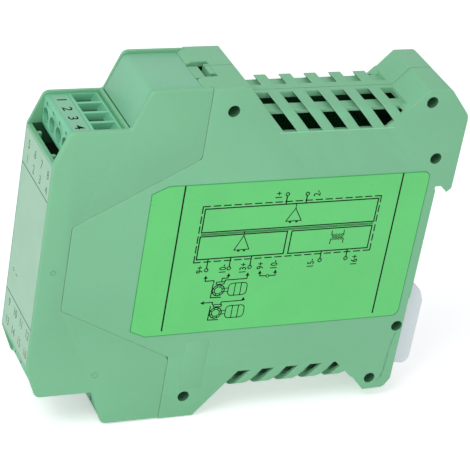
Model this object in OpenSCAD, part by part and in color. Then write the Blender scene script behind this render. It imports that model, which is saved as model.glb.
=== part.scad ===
// Signal isolator in a narrow housing that clips onto a 35 mm mounting rail.
// The side towards the viewer is +X, the rail is at +Y, the labelled front is at -Y and +Z is up.
// The origin is the middle of the face that sits on the rail. Depths, the values whose names end
// in _d, are measured from the front face, and heights are symmetric about the middle unless a
// comment says otherwise.

/* [Housing] */
// Width of the housing along the rail
housing_w = 22.5; // [22:0.5:30]
// Height over the rear terminal tiers
housing_h = 99; // [98:0.5:104]
// Depth from the front face to the face that sits on the rail
rail_depth = 107.3; // [106.5:0.1:109]
// Thickness of the flat side walls
side_wall = 1.15; // [0.9:0.05:1.25]
// Thickness of the top, bottom and rear walls
wall = 1.5; // [1.2:0.1:1.8]
// Sideways place of the joint between the two rear shells
split_x = -1; // [-2:0.5:2]
// Gap left along every joint between two mouldings
joint_gap = 0.1; // [0.05:0.05:0.2]

/* [Front cap] */
// Drop from the top of a rear tier to the top of a front tier
tier_drop = 10.5; // [10:0.1:11]
// Drop from a front tier to the edge of the front face
front_drop = 8.9; // [8:0.1:10]
// Depth at which the flat of a front tier begins
near_tier_d = 3.5; // [3:0.1:4]
// Depth of the step between the front and the rear tier
step_d = 18.75; // [18.5:0.05:19]
// Depth at which the flat of a rear tier begins
far_tier_d = 22.8; // [22.5:0.1:23]
// Depth of the upper joint between the cap and the rear shells
cap_d = 38.7; // [38.5:0.1:40]
// Depth of the joint in the middle of the side
seam_front_d = 7; // [6:0.5:9]
// Height of the upright stretch of that joint
seam_front_h = 24.6; // [20:0.5:28]
// Drop from the edge of the front face to the rear end of the slanting joint
seam_drop = 0.3; // [0:0.1:1]
// Thickness of the front wall and of the step walls
front_wall = 1.2; // [1:0.1:1.4]
// Radius of the tier corners seen from the side
tier_round = 2; // [1:0.25:2.5]

/* [Rear shells] */
// Depth at which the flat top of the rear tier ends
tier_end_d = 48.6; // [47:0.5:50]
// Drop from the top of a rear tier to the vented deck
deck_drop = 7.4; // [7:0.1:8]
// Depth at which a deck begins
deck_front_d = 54.8; // [54:0.1:55.5]
// Drop from the top of a rear tier to the top of a rear foot
foot_drop = 2.8; // [2:0.1:3.5]
// Length along the depth of the slope from a deck up to a foot
foot_slope_len = 4.1; // [3:0.1:4.5]
// Length along the depth of the flat of a foot
foot_flat = 6.3; // [5:0.1:7]
// Distance from the flat of a foot to the rail face
foot_back = 2; // [1.5:0.1:3]
// Distance by which the hook block stands behind the rail face
back_reach = 4.7; // [4.4:0.1:5.5]
// Drop from the top of a foot to the lower end of the hook block's shoulder
shoulder_drop = 8.1; // [7:0.1:9]
// Thickness of the vented decks
deck_wall = 1.7; // [1.4:0.1:2]

/* [Vents] */
// Number of slots along each deck
slot_count = 6; // [3:1:6]
// Distance from one slot to the next
slot_pitch = 7.1; // [6.5:0.05:7.2]
// Width of a slot along the depth
slot_w = 3.7; // [3:0.05:4]
// Drop from a deck to the lower end of the slots in the side
slot_drop = 5.7; // [5:0.1:7]
// Distance by which the lower end of a side slot stands behind its upper end
slot_lean = 5; // [4:0.1:6]
// Width of the plain strip on the right of the shells' joint
strip_right_w = 1.6; // [1.4:0.1:3]
// Width of the plain strip on the left of the shells' joint
strip_left_w = 2.4; // [1.4:0.1:3]
// Distance from the middle to the inner edge of the sunken corner strip
corner_inner_x = 4.6; // [4.2:0.1:5.2]
// Width of the sunken corner strip
corner_w = 3.8; // [3:0.1:4]
// Depth of the corner strip below the deck
corner_sink = 1.1; // [0.6:0.1:1.6]
// Thickness of the corner strip
corner_t = 0.9; // [0.8:0.1:1.2]
// Radius of the bars where they turn from a deck into the side
corner_round = 3.2; // [2.5:0.1:5]

/* [Rail fit] */
// Height of the mounting rail
rail_h = 35; // [35:0.5:35]
// Height above the middle of the rail's upper edge in the hook
rail_top_z = 17.7; // [17.5:0.1:18]
// Depth of the groove behind the rail face
groove_reach = 1.7; // [1.5:0.1:2]
// Height above the middle of the hook's tip
hook_tip_z = 15.5; // [15:0.1:16]
// Distance of the hook's tip behind the rail face
hook_tip_reach = 3.1; // [2.8:0.1:3.4]
// Travel of the sliding rail latch
latch_travel = 3.5; // [3:0.25:4]
// Width of the latch behind the housing
latch_w = 14; // [12:0.5:16]
// Distance by which the latch stands behind the rail face
latch_reach = 6.9; // [6.5:0.1:7.2]
// Height of the latch's lower end above the underside of the foot
latch_rise = 4.4; // [4:0.1:5]

/* [Terminal plugs] */
// Number of poles in each plug
poles = 4; // [4:1:4]
// Distance from one pole to the next
pole_pitch = 5; // [4.9:0.05:5]
// Depth of a plug, front to back
plug_d = 14.2; // [14.1:0.05:14.3]
// Height of a plug
plug_h = 13.7; // [13.4:0.1:13.9]
// Distance of a plug's top below the top of its tier
plug_sink = 0.8; // [0.7:0.1:1]
// Depth of a front plug's face
plug_face_d = 3.5; // [3.4:0.05:3.55]
// Shift in depth from a front plug to a rear plug
tier_shift_d = 19; // [18.95:0.05:19.05]
// Diameter of a clamping screw's thread
screw_dia = 2.9; // [2.5:0.1:3]
// Diameter of a clamping screw's head
screw_head_dia = 3.8; // [3.5:0.1:3.9]
// Height of the screws above a plug's seat
screw_z = 9.1; // [9:0.1:9.2]
// Travel of a wire clamp
clamp_travel = 2.5; // [2:0.1:2.6]
// Diameter of the test holes above the screws
test_hole_dia = 1.1; // [0.8:0.1:1.2]

/* [Circuit board] */
// Thickness of the circuit board
board_t = 1.5; // [1.2:0.1:1.6]
// Gap between the board and the side wall behind it
board_gap = 0.5; // [0.4:0.1:0.6]
// Diameter of the power lamp
lamp_dia = 3; // [2.8:0.1:3]

/* [Labels] */
// Thickness of the labels
label_t = 0.15; // [0.1:0.05:0.25]
// Depth at which the side label begins
side_label_front_d = 26.7; // [24:0.5:30]
// Depth at which the side label ends
side_label_rear_d = 104.6; // [100:0.5:105]
// Height of the side label
side_label_h = 45.2; // [40:0.5:46]

/* [Hidden] */
$fn = 40;

// Colours
green = [0.47, 0.73, 0.57];
plug_green = [0.45, 0.78, 0.60];
label_green = [0.42, 0.84, 0.49];
film_green = [0.66, 0.82, 0.73];
latch_grey = [0.80, 0.84, 0.88];

// Common values
over = 1;
half_w = housing_w / 2;
inner_x = half_w - side_wall;
half_h = housing_h / 2;
near_tier_h = housing_h - 2 * tier_drop;
front_h = near_tier_h - 2 * front_drop;
deck_h = housing_h - 2 * deck_drop;
foot_h = housing_h - 2 * foot_drop;
foot_rear_d = rail_depth - foot_back;
foot_front_d = foot_rear_d - foot_flat;
deck_rear_d = foot_front_d - foot_slope_len;
plug_seat_z = near_tier_h / 2 - plug_h - plug_sink;
small_round = 0.8;
arc_steps = 5;

// Flat geometry

function unit(v) = v / norm(v);
function turn(a, b) = a[0] * b[1] - a[1] * b[0];
function inward(a, b) = let (u = unit(b - a)) [u[1], -u[0]];
function flipped(points) = [for (i = [len(points) - 1:-1:0]) [points[i][0], -points[i][1]]];

// Every edge of a clockwise outline moved inwards by its own amount
function inset(points, walls) = let (n = len(points)) [
    for (i = [0:n - 1])
        let (before = points[(i + n - 1) % n], here = points[i], after = points[(i + 1) % n],
             u1 = unit(here - before), u2 = unit(after - here),
             p1 = here + inward(before, here) * walls[(i + n - 1) % n],
             p2 = here + inward(here, after) * walls[i])
        p1 + u1 * turn(p2 - p1, u2) / turn(u1, u2)
];

// The same outline with each corner turned into an arc of its own radius
function rounded(points, radii) = let (n = len(points)) [
    for (i = [0:n - 1])
        let (here = points[i], a = unit(points[(i + n - 1) % n] - here),
             b = unit(points[(i + 1) % n] - here), r = radii[i],
             corner = acos(a * b), reach = r > 0 ? r / tan(corner / 2) : 0,
             middle = here + unit(a + b) * (r > 0 ? r / sin(corner / 2) : 0),
             start = here + a * reach - middle,
             way = turn(-a, b) > 0 ? 1 : -1,
             steps = r > 0 ? arc_steps : 0)
        for (k = [0:steps])
            let (s = steps > 0 ? way * (180 - corner) * k / steps : 0)
            middle + [start[0] * cos(s) - start[1] * sin(s), start[0] * sin(s) + start[1] * cos(s)]
];

// A side profile of depths and heights, drawn out sideways between two places
module profile(points, x_from, x_to) {
    translate([x_from, 0, 0]) rotate([90, 0, 90]) linear_extrude(x_to - x_from) polygon(points);
}

// A box between two corners
module block(from, to) {
    translate(from) cube(to - from);
}

// A round bar along the depth
module rod(from_d, to_d, dia) {
    translate([0, from_d, 0]) rotate([-90, 0, 0]) cylinder(d = dia, h = to_d - from_d);
}

// Moves depths from the front face to the frame of the part
module seat() {
    translate([0, -rail_depth, 0]) children();
}

// The upper terminals as drawn, or the lower ones as their mirror image
module on_side(up) {
    if (up) children();
    else mirror([0, 0, 1]) children();
}

// Front cap

cap_tier_points = [
    [0, front_h / 2],
    [near_tier_d, near_tier_h / 2],
    [step_d, near_tier_h / 2],
    [far_tier_d, half_h],
    [cap_d, half_h]
];
seam_rear_z = front_h / 2 - seam_drop;
cap_seam_points = [[cap_d, seam_rear_z], [seam_front_d, seam_front_h / 2]];
cap_outline = concat(cap_tier_points, cap_seam_points, flipped(concat(cap_tier_points, cap_seam_points)));
cap_radii = concat([small_round, tier_round, small_round, tier_round, 0, tier_round, small_round],
                   [small_round, tier_round, 0, tier_round, small_round, tier_round, small_round]);
tab_from_x = -2.2;
tab_to_x = 3.9;
tab_reach = 0.8;
lip_front_d = plug_face_d + tier_shift_d + plug_d + joint_gap;
lip_chamfer = 1.2;
lip_drop = 0.8;
bar_t = 1.1;
lip_t = 2.1;
lip_under_z = half_h - lip_t;
label_recess = 0.1;
label_margin = 0.8;
lamp_x = -6.3;
lamp_z = -10.1;
tooth_x = 5.8;
tooth_w = 1;
tooth_reach = 1.1;
tooth_h = 3;
lamp_clear = 0.15;
step_wall = 0.95;
step_in_d = step_d - step_wall;
floor_z = plug_seat_z - joint_gap;

module front_cap() {
    color(green) seat() difference() {
        union() {
            for (side = [-1, 1])
                profile(rounded(cap_outline, cap_radii),
                        side > 0 ? inner_x : -half_w, side > 0 ? half_w : -inner_x);
            block([-half_w + over, 0, -front_h / 2], [half_w - over, front_wall, front_h / 2]);
            for (up = [true, false]) on_side(up) {
                cap_step();
                cap_catch();
                cap_teeth();
            }
        }
        block([-half_w + label_margin, -over, -front_h / 2 + label_margin],
              [half_w - label_margin, label_recess, front_h / 2 - label_margin]);
        translate([lamp_x, 0, lamp_z]) rod(-over, front_wall + over, lamp_dia + 2 * lamp_clear);
    }
}

// The wall between the front and the rear pocket
module cap_step() {
    block([-inner_x - over / 2, step_in_d, floor_z], [inner_x + over / 2, step_d, near_tier_h / 2]);
}

// The bar behind the rear pocket and its tab, which snaps into the rear shells
module cap_catch() {
    bar_z = lip_under_z - joint_gap;
    block([-inner_x - over / 2, lip_front_d, bar_z - bar_t],
          [inner_x + over / 2, cap_d - joint_gap, bar_z]);
    block([tab_from_x, lip_front_d, bar_z - bar_t], [tab_to_x, cap_d + tab_reach, half_h - lip_drop]);
}

// Two small teeth at the top of the front wall
module cap_teeth() {
    for (x = [-tooth_x, tooth_x])
        block([x - tooth_w / 2, front_wall - label_recess, front_h / 2 - tooth_h],
              [x + tooth_w / 2, front_wall + tooth_reach, front_h / 2 - label_recess]);
}

// Rear shells

back_d = rail_depth + back_reach;
shoulder_z = foot_h / 2 - shoulder_drop;
foot_bottom_z = -foot_h / 2;
toe_rise = 2.95;
toe_z = foot_bottom_z + toe_rise;
seat_foot_z = rail_top_z - rail_h;
seat_step = 0.3;
seat_relief = 1.2;
seat_top_z = rail_top_z - seat_relief;
shell_front_points = [
    [seam_front_d + joint_gap, seam_front_h / 2],
    [cap_d + joint_gap, seam_rear_z],
    [cap_d + joint_gap, half_h],
    [tier_end_d, half_h],
    [deck_front_d, deck_h / 2],
    [deck_rear_d, deck_h / 2],
    [foot_front_d, foot_h / 2]
];
shell_front_radii = [small_round, small_round, 0, small_round, small_round, small_round, small_round];
shell_outline = concat(
    shell_front_points,
    [[foot_rear_d, foot_h / 2],
     [back_d, shoulder_z],
     [back_d, rail_top_z - small_round],
     [rail_depth + hook_tip_reach, hook_tip_z],
     [rail_depth + groove_reach, rail_top_z],
     [rail_depth - seat_step, rail_top_z],
     [rail_depth - seat_step, seat_top_z],
     [rail_depth, seat_top_z],
     [rail_depth, seat_foot_z],
     [rail_depth - seat_step, seat_foot_z],
     [rail_depth - seat_step, toe_z],
     [foot_rear_d, foot_bottom_z + joint_gap]],
    flipped(shell_front_points));
shell_radii = concat(
    shell_front_radii,
    [tier_round, 2 * tier_round, small_round, small_round / 2],
    [joint_gap, joint_gap, 0, 0, 0, 0, 2 * joint_gap, tier_round],
    [small_round, small_round, small_round, small_round, 0, small_round, small_round]);
cavity_outline = concat(
    shell_front_points,
    [[foot_rear_d, foot_h / 2], [back_d, shoulder_z], [back_d, rail_top_z],
     [rail_depth, rail_top_z], [rail_depth, toe_z], [foot_rear_d, foot_bottom_z + joint_gap]],
    flipped(shell_front_points));
cavity_walls = concat(
    [-over, -over, wall, wall, deck_wall, wall, wall],
    [wall, wall, wall, wall, wall, wall],
    [wall, deck_wall, wall, wall, -over, -over, -over]);
pin_back = 2.1;
pin_end_reach = 6.4;
pin_foot_reach = 1.4;
pin_drop = 6.5;
pin_end_d = cap_d + pin_end_reach;
pin_foot_d = foot_front_d + pin_foot_reach;
pin_z = half_h - pin_drop;
pin_dia = 3;
pin_hole_dia = 3.2;
boss_dia = 5;
latch_boss_dia = 4.2;
pin_short = 3.2;
notch_from_x = -3.2;
notch_to_x = 4.8;
notch_reach = 3.6;
post_from_x = -1.9;
post_to_x = 3;
post_t = 1.5;
post_drop = 0.15;
notch_floor_z = lip_under_z - bar_t - 2 * joint_gap;
notch_floor_t = 1;
latch_slot_w = 7.4;
rail_play = 0.05;
latch_top_z = seat_foot_z - rail_play;
latch_foot_z = foot_bottom_z + latch_rise;
latch_neck_drop = 0.7;
latch_neck_rise = 6.8;
latch_neck_top_z = seat_foot_z - latch_neck_drop;
latch_neck_foot_z = latch_foot_z + latch_neck_rise;
latch_pin_rise = 0.5;
// Places of the joining pins and of the latch's pin: depth and height
latch_pin = [rail_depth - pin_back, (latch_neck_top_z + latch_neck_foot_z) / 2 + latch_pin_rise];
pin_places = [[pin_end_d, pin_z], [pin_end_d, -pin_z], [pin_foot_d, pin_z], [pin_foot_d, -pin_z],
              [rail_depth - pin_back, -latch_pin[1]]];
latch_clear = 0.2;
guide_x = 6;
guide_t = 1.2;
guide_back = 4.7;
guide_d = rail_depth - guide_back;
spring_seat_drop = 1.7;
spring_seat_z = latch_foot_z - spring_seat_drop;
spring_back = 2.95;
spring_d = rail_depth - spring_back;
spring_dia = 2.2;
spring_wire = 0.45;
spring_turns = 5;

// The field of a deck and of the side below it that is slotted, between two leaning edges
slot_foot_z = deck_h / 2 - slot_drop;
field_back = 0.4;
module slotted_field() {
    polygon([[tier_end_d, half_h], [foot_front_d, half_h], [foot_front_d, foot_h / 2],
             [deck_rear_d - field_back, deck_h / 2], [deck_rear_d - slot_drop - field_back, slot_foot_z],
             [deck_front_d + slot_lean, slot_foot_z], [deck_front_d, deck_h / 2]]);
}

// One leaning slot, kept inside that field
slot_rise = 3;
module slot(k) {
    front_d = deck_front_d + k * slot_pitch;
    low_d = front_d + slot_lean;
    intersection() {
        polygon([[front_d, deck_h / 2 + slot_rise], [front_d + slot_w, deck_h / 2 + slot_rise],
                 [front_d + slot_w, deck_h / 2], [low_d + slot_w, slot_foot_z], [low_d, slot_foot_z],
                 [front_d, deck_h / 2]]);
        slotted_field();
    }
}

// The slots of one deck, from the plain strip out through the side wall
module slots(x_from, x_to) {
    for (k = [0:slot_count - 1])
        translate([x_from, 0, 0]) rotate([90, 0, 90]) linear_extrude(x_to - x_from) slot(k);
}

// The long corner of a deck on one side: its arc's middle, and a bar round that middle
backing_t = 1.5;
corner_x = half_w - corner_round;
corner_z = deck_h / 2 - corner_round;
module corner_rod(side, dia) {
    translate([side * corner_x, 0, corner_z]) rod(tier_end_d, foot_rear_d, dia);
}

module corner_quarter(side, reach) {
    x_far = side * (corner_x + reach);
    block([min(side * corner_x, x_far), tier_end_d, corner_z],
          [max(side * corner_x, x_far), foot_rear_d, corner_z + reach]);
}

// The material that backs the rounded corner
module corner_backing(side) {
    intersection() {
        difference() {
            corner_rod(side, 2 * corner_round);
            corner_rod(side, 2 * (corner_round - backing_t));
        }
        corner_quarter(side, corner_round);
        translate([-half_w, 0, 0]) rotate([90, 0, 90]) linear_extrude(housing_w) slotted_field();
    }
}

// What the rounding takes off the square corner
module corner_cut(side) {
    intersection() {
        difference() {
            corner_quarter(side, corner_round + over);
            corner_rod(side, 2 * corner_round);
        }
        translate([-half_w - over, 0, 0]) rotate([90, 0, 90]) linear_extrude(housing_w + 2 * over)
            slotted_field();
    }
}

// The sunken strips that tie the bars together at the corners
module corner_strip(side) {
    x_near = side * corner_inner_x;
    x_far = side * (corner_inner_x + corner_w);
    top_z = deck_h / 2 - corner_sink;
    block([min(x_near, x_far), deck_front_d - joint_gap, top_z - corner_t],
          [max(x_near, x_far), deck_rear_d, top_z]);
}

// The edge of the top plate that reaches forward between the cap's side walls
module lip() {
    lip_points = [
        [lip_front_d, lip_under_z],
        [lip_front_d, half_h - lip_drop],
        [lip_front_d + lip_chamfer, half_h],
        [cap_d + wall, half_h],
        [cap_d + wall, lip_under_z]
    ];
    profile(lip_points, -inner_x + joint_gap, inner_x - joint_gap);
}

// The recess in the top plate that takes the cap's tab, with its post
module notch_floor() {
    block([notch_from_x - wall, cap_d + tab_reach + joint_gap, notch_floor_z - notch_floor_t],
          [notch_to_x + wall, cap_d + notch_reach + wall, notch_floor_z]);
    block([post_from_x, cap_d + notch_reach - post_t, notch_floor_z - joint_gap],
          [post_to_x, cap_d + notch_reach, half_h - post_drop]);
}

module notch() {
    block([notch_from_x, lip_front_d - over, notch_floor_z],
          [notch_to_x, cap_d + notch_reach, half_h + over]);
}

// The ribs beside the latch and the ledge that carries its spring
module latch_guides() {
    for (side = [-1, 1]) {
        x_in = side * guide_x;
        x_out = side * (guide_x + guide_t);
        block([min(x_in, x_out), guide_d, spring_seat_z],
              [max(x_in, x_out), rail_depth - wall / 2, latch_neck_top_z + over]);
    }
    block([-guide_x - guide_t, guide_d, foot_bottom_z + wall / 2],
          [guide_x + guide_t, rail_depth - wall / 2, spring_seat_z]);
}

// Both shells in one, before they are parted at the joint
module shell_body() {
    difference() {
        union() {
            difference() {
                union() {
                    difference() {
                        profile(rounded(shell_outline, shell_radii), -half_w, half_w);
                        profile(inset(cavity_outline, cavity_walls), -inner_x, inner_x);
                    }
                    for (up = [true, false]) on_side(up)
                        for (side = [-1, 1]) corner_backing(side);
                }
                for (up = [true, false]) on_side(up) {
                    for (side = [-1, 1]) corner_cut(side);
                    slots(split_x + strip_right_w, half_w + over);
                    slots(-half_w - over, split_x - strip_left_w);
                }
            }
            for (up = [true, false]) on_side(up) {
                for (side = [-1, 1]) corner_strip(side);
                lip();
                notch_floor();
            }
            intersection() {
                latch_guides();
                profile(shell_outline, -inner_x - over / 2, inner_x + over / 2);
            }
        }
        for (up = [true, false]) on_side(up) difference() {
            notch();
            notch_floor();
        }
        block([-latch_slot_w / 2, rail_depth - wall - over / 2,
               latch_neck_foot_z - latch_travel - latch_clear],
              [latch_slot_w / 2, rail_depth + over, latch_neck_top_z + latch_clear]);
    }
}

module half_space(side) {
    edge_x = split_x + side * joint_gap / 2;
    far_x = side * (half_w + over);
    block([min(edge_x, far_x), -over, -half_h - over],
          [max(edge_x, far_x), back_d + over, half_h + over]);
}

// A round bar across the housing at a place given by depth and height
module cross_bar(place, dia, x_from, x_to) {
    translate([x_from, place[0], place[1]]) rotate([0, 90, 0]) cylinder(d = dia, h = x_to - x_from);
}

module rear_shell_right() {
    color(green) seat() difference() {
        union() {
            intersection() {
                shell_body();
                half_space(1);
            }
            intersection() {
                union() {
                    for (place = pin_places)
                        cross_bar(place, boss_dia, split_x + joint_gap / 2, inner_x + side_wall / 2);
                    cross_bar(latch_pin, latch_boss_dia, guide_x, inner_x + side_wall / 2);
                }
                profile(shell_outline, split_x, half_w);
            }
        }
        for (place = pin_places) cross_bar(place, pin_hole_dia, split_x - over, half_w + over);
        cross_bar(latch_pin, pin_hole_dia, split_x - over, half_w + over);
    }
}

module rear_shell_left() {
    color(green) seat() union() {
        intersection() {
            shell_body();
            half_space(-1);
        }
        for (place = pin_places) cross_bar(place, pin_dia, -inner_x - side_wall / 2, half_w - pin_short);
        cross_bar(latch_pin, pin_dia, -inner_x - side_wall / 2, half_w - pin_short);
        intersection() {
            union() {
                for (place = pin_places)
                    cross_bar(place, boss_dia, -inner_x - side_wall / 2, split_x - joint_gap / 2);
                cross_bar(latch_pin, latch_boss_dia, -inner_x - side_wall / 2, -guide_x);
            }
            profile(shell_outline, -half_w, split_x);
        }
        for (place = board_posts) {
            cross_bar(place, post_dia, -inner_x - side_wall / 2, -inner_x + board_gap - joint_gap / 2);
            cross_bar(place, peg_dia, -inner_x, -inner_x + board_gap + board_t + peg_stand);
        }
    }
}

// Filler cover over the unused upper rear terminals

filler_t = 1.2;
filler_foot_d = step_d + joint_gap;
filler_foot_z = near_tier_h / 2 + joint_gap;
filler_top_z = half_h - lip_drop;
filler_rear_d = lip_front_d - joint_gap;
filler_leg_drop = 13;
filler_leg_z = half_h - filler_leg_drop;
filler_leg_t = 1.4;
filler_slope = (far_tier_d - step_d) / (half_h - near_tier_h / 2);

module filler_cover() {
    top_front_d = filler_foot_d + filler_slope * (filler_top_z - filler_foot_z) + joint_gap;
    outer = [[filler_foot_d, filler_foot_z], [top_front_d, filler_top_z], [filler_rear_d, filler_top_z],
             [filler_rear_d, filler_leg_z], [filler_rear_d - filler_leg_t, filler_leg_z],
             [filler_rear_d - filler_leg_t, filler_top_z - filler_t],
             [top_front_d + filler_t, filler_top_z - filler_t],
             [filler_foot_d + filler_t + joint_gap, filler_foot_z]];
    radii = [0, tier_round, 0, 0, 0, 0, small_round, 0];
    edge_x = inner_x - joint_gap;
    color(green) seat() union() {
        profile(rounded(outer, radii), -edge_x, edge_x);
        for (side = [-1, 1]) {
            x_out = side * edge_x;
            x_in = side * (edge_x - filler_t);
            profile([[filler_foot_d + joint_gap, filler_foot_z],
                     [top_front_d + tier_round, filler_top_z - filler_t / 2],
                     [filler_rear_d - filler_leg_t / 2, filler_top_z - filler_t / 2],
                     [filler_rear_d - filler_leg_t / 2, filler_foot_z]],
                    min(x_out, x_in), max(x_out, x_in));
        }
    }
}

// Terminal plugs: a plug's own frame has its face at zero depth and its seat at zero height

function pole_x(k) = (k - (poles - 1) / 2) * pole_pitch;
plug_half_w = poles * pole_pitch / 2;
plug_top_round = 0.6;
plug_foot_back = 2;
plug_foot_h = 6;
cell_half_w = 2.1;
cell_front_p = 2.6;
cell_rear_p = 12.2;
cell_foot_z = 6.4;
cell_top_z = 11.8;
marker_from_p = 1.1;
marker_to_p = 5.9;
marker_sink = 0.4;
marker_t = 0.3;
marker_margin = 0.3;
marker_half_w = plug_half_w - marker_margin - joint_gap;
funnel_from_p = 6.7;
funnel_to_p = 13.2;
funnel_half_w = 2.05;
wire_from_p = 8.3;
wire_to_p = 12;
socket_half_w = 1.7;
socket_from_p = 7.2;
socket_to_p = 10.3;
screw_head_from_p = 1.1;
screw_head_t = 1.3;
screw_tip_p = 7.2;
screw_clear = 0.05;
screw_slot_w = 0.6;
screw_slot_t = 0.6;
test_hole_z = 12.3;
test_hole_deep = 1.2;
clamp_half_w = 2;
clamp_play = 0.2;
clamp_from_p = cell_front_p + clamp_play + clamp_travel;
clamp_front_t = 1.2;
clamp_side_t = 0.4;
clamp_len = 5.9;
clamp_inner_p = clamp_from_p + clamp_len;
clamp_rear_t = 0.8;
clamp_foot_z = 6.6;
clamp_top_z = 11.6;
contact_half_w = 1.4;
contact_t = 0.8;
contact_bar_p = 7.3;
contact_rear_p = 9.3;
contact_foot_z = 1;
contact_top_z = 11.4;
contact_bridge_z = 5.4;

// Puts a plug's own frame at its place: the tier it stands in, above or below
module at_plug(tier, up) {
    seat() on_side(up)
        translate([0, plug_face_d + tier * tier_shift_d, plug_seat_z + tier * tier_drop]) children();
}

module plug_body() {
    face = [[plug_foot_back, 0], [plug_foot_back, plug_foot_h], [0, plug_foot_h],
            [0, plug_h], [plug_d, plug_h], [plug_d, 0]];
    radii = [0, 0, 0, plug_top_round, plug_top_round, 0];
    difference() {
        profile(rounded(face, radii), -plug_half_w, plug_half_w);
        block([-plug_half_w + marker_margin, marker_from_p, plug_h - marker_sink],
              [plug_half_w - marker_margin, marker_to_p, plug_h + over]);
        for (k = [0:poles - 1]) translate([pole_x(k), 0, 0]) plug_cell();
    }
}

// The room for one pole's screw, clamp, contact and wire
module plug_cell() {
    block([-cell_half_w, cell_front_p, cell_foot_z], [cell_half_w, cell_rear_p, cell_top_z]);
    translate([0, 0, screw_z]) rod(-over, cell_front_p + over, screw_head_dia + 2 * screw_clear);
    translate([0, 0, test_hole_z]) rod(-over, test_hole_deep, test_hole_dia);
    profile([[wire_from_p, cell_top_z - over], [wire_from_p, cell_top_z], [funnel_from_p, plug_h],
             [funnel_from_p, plug_h + over], [funnel_to_p, plug_h + over], [funnel_to_p, plug_h],
             [wire_to_p, cell_top_z], [wire_to_p, cell_top_z - over]], -funnel_half_w, funnel_half_w);
    block([-socket_half_w, socket_from_p, -over], [socket_half_w, socket_to_p, cell_foot_z + over]);
}

module plug(tier, up) {
    color(plug_green) at_plug(tier, up) plug_body();
}

// The strip that carries the terminal numbers
module marker(tier, up) {
    color(film_green) at_plug(tier, up)
        block([-marker_half_w, marker_from_p + joint_gap, plug_h - marker_sink],
              [marker_half_w, marker_to_p - joint_gap, plug_h - marker_sink + marker_t]);
}

// Spring contacts, one to a pole: the bar under the screw and the fork that grips the header pin
module contacts(tier, up) {
    color("goldenrod") at_plug(tier, up) for (k = [0:poles - 1]) translate([pole_x(k), 0, 0]) union() {
        block([-contact_half_w, contact_bar_p, contact_foot_z],
              [contact_half_w, contact_bar_p + contact_t, contact_top_z]);
        block([-contact_half_w, contact_bar_p, contact_bridge_z],
              [contact_half_w, contact_rear_p + contact_t, contact_bridge_z + contact_t]);
        block([-contact_half_w, contact_rear_p, contact_foot_z],
              [contact_half_w, contact_rear_p + contact_t, contact_bridge_z + contact_t]);
    }
}

module screw(k, tier, up) {
    thread_from_p = screw_head_from_p + screw_head_t;
    color("silver") at_plug(tier, up) translate([pole_x(k), 0, screw_z]) difference() {
        union() {
            rod(screw_head_from_p, thread_from_p, screw_head_dia);
            rod(thread_from_p, screw_tip_p, screw_dia);
        }
        block([-screw_head_dia, screw_head_from_p - over, -screw_slot_w / 2],
              [screw_head_dia, screw_head_from_p + screw_slot_t, screw_slot_w / 2]);
    }
}

// A wire clamp: a square sleeve that its screw draws towards the face
module clamp(k, tier, up) {
    rear_p = clamp_inner_p + clamp_rear_t;
    color("lightsteelblue") at_plug(tier, up) translate([pole_x(k), 0, 0]) difference() {
        block([-clamp_half_w, clamp_from_p, clamp_foot_z], [clamp_half_w, rear_p, clamp_top_z]);
        block([-clamp_half_w + clamp_side_t, clamp_from_p + clamp_front_t, clamp_foot_z - over],
              [clamp_half_w - clamp_side_t, clamp_inner_p, clamp_top_z + over]);
        translate([0, 0, screw_z])
            rod(clamp_from_p - over, clamp_from_p + clamp_front_t + over, screw_dia + 2 * screw_clear);
    }
}

// Headers on the circuit board

header_t = 4;
header_inset_p = 0.4;
header_pin_p = 8.2;
header_pin_w = 1;
header_pin_top = 5.1;
leg_first_z = -6;
leg_step_z = 1.5;
header_margin = 0.15;
header_pin_clear = 0.05;
header_pin_to_p = header_pin_p + header_pin_w;

module header(tier, up) {
    hole_half_w = header_pin_w / 2 + header_pin_clear;
    color("darkslategray") at_plug(tier, up) difference() {
        block([-inner_x + header_margin, header_inset_p, -joint_gap - header_t],
              [inner_x - header_margin, plug_d - header_inset_p, -joint_gap]);
        for (k = [0:poles - 1]) translate([pole_x(k), 0, 0])
            block([-hole_half_w, header_pin_p - header_pin_clear, -joint_gap - header_t - over],
                  [hole_half_w, header_pin_to_p + header_pin_clear, over]);
    }
}

// Square pins bent towards the board, each leg below the one before it
module pins(tier, up) {
    leg_end_x = -inner_x + board_gap - header_margin;
    color("silver") at_plug(tier, up) for (k = [0:poles - 1]) {
        leg_z = leg_first_z - k * leg_step_z;
        pin_x = pole_x(k) + header_pin_w / 2;
        union() {
            block([pin_x - header_pin_w, header_pin_p, leg_z], [pin_x, header_pin_to_p, header_pin_top]);
            block([leg_end_x, header_pin_p, leg_z], [pin_x, header_pin_to_p, leg_z + header_pin_w]);
        }
    }
}

// Circuit board and what stands on it

board_x = -inner_x + board_gap;
board_face_x = board_x + board_t;
board_front_d = 5.5;
board_rear_back = 10.3;
board_rear_d = rail_depth - board_rear_back;
board_rear_drop = 9.1;
board_rear_h = deck_h - 2 * board_rear_drop;
board_near_h = 2 * (plug_seat_z - header_t - 3 * joint_gap);
board_far_h = board_near_h + 2 * tier_drop;
board_step_d = step_d;
board_back_d = cap_d + 2;
board_post_drop = 3.5;
board_post_front = 9.3;
board_post_back = 5;
board_post_z = board_rear_h / 2 - board_post_drop;
board_post_near_d = board_back_d + board_post_front;
board_post_far_d = board_rear_d - board_post_back;
board_posts = [for (post_d = [board_post_near_d, board_post_far_d], side = [1, -1])
    [post_d, side * board_post_z]];
post_dia = 5;
peg_dia = 2.8;
peg_hole_dia = 3;
peg_stand = 1;
leg_hole_dia = 1.6;
board_outline = [
    [board_front_d, board_near_h / 2],
    [board_step_d, board_near_h / 2],
    [board_step_d, board_far_h / 2],
    [board_back_d, board_far_h / 2],
    [board_back_d, board_rear_h / 2],
    [board_rear_d, board_rear_h / 2]
];

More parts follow.
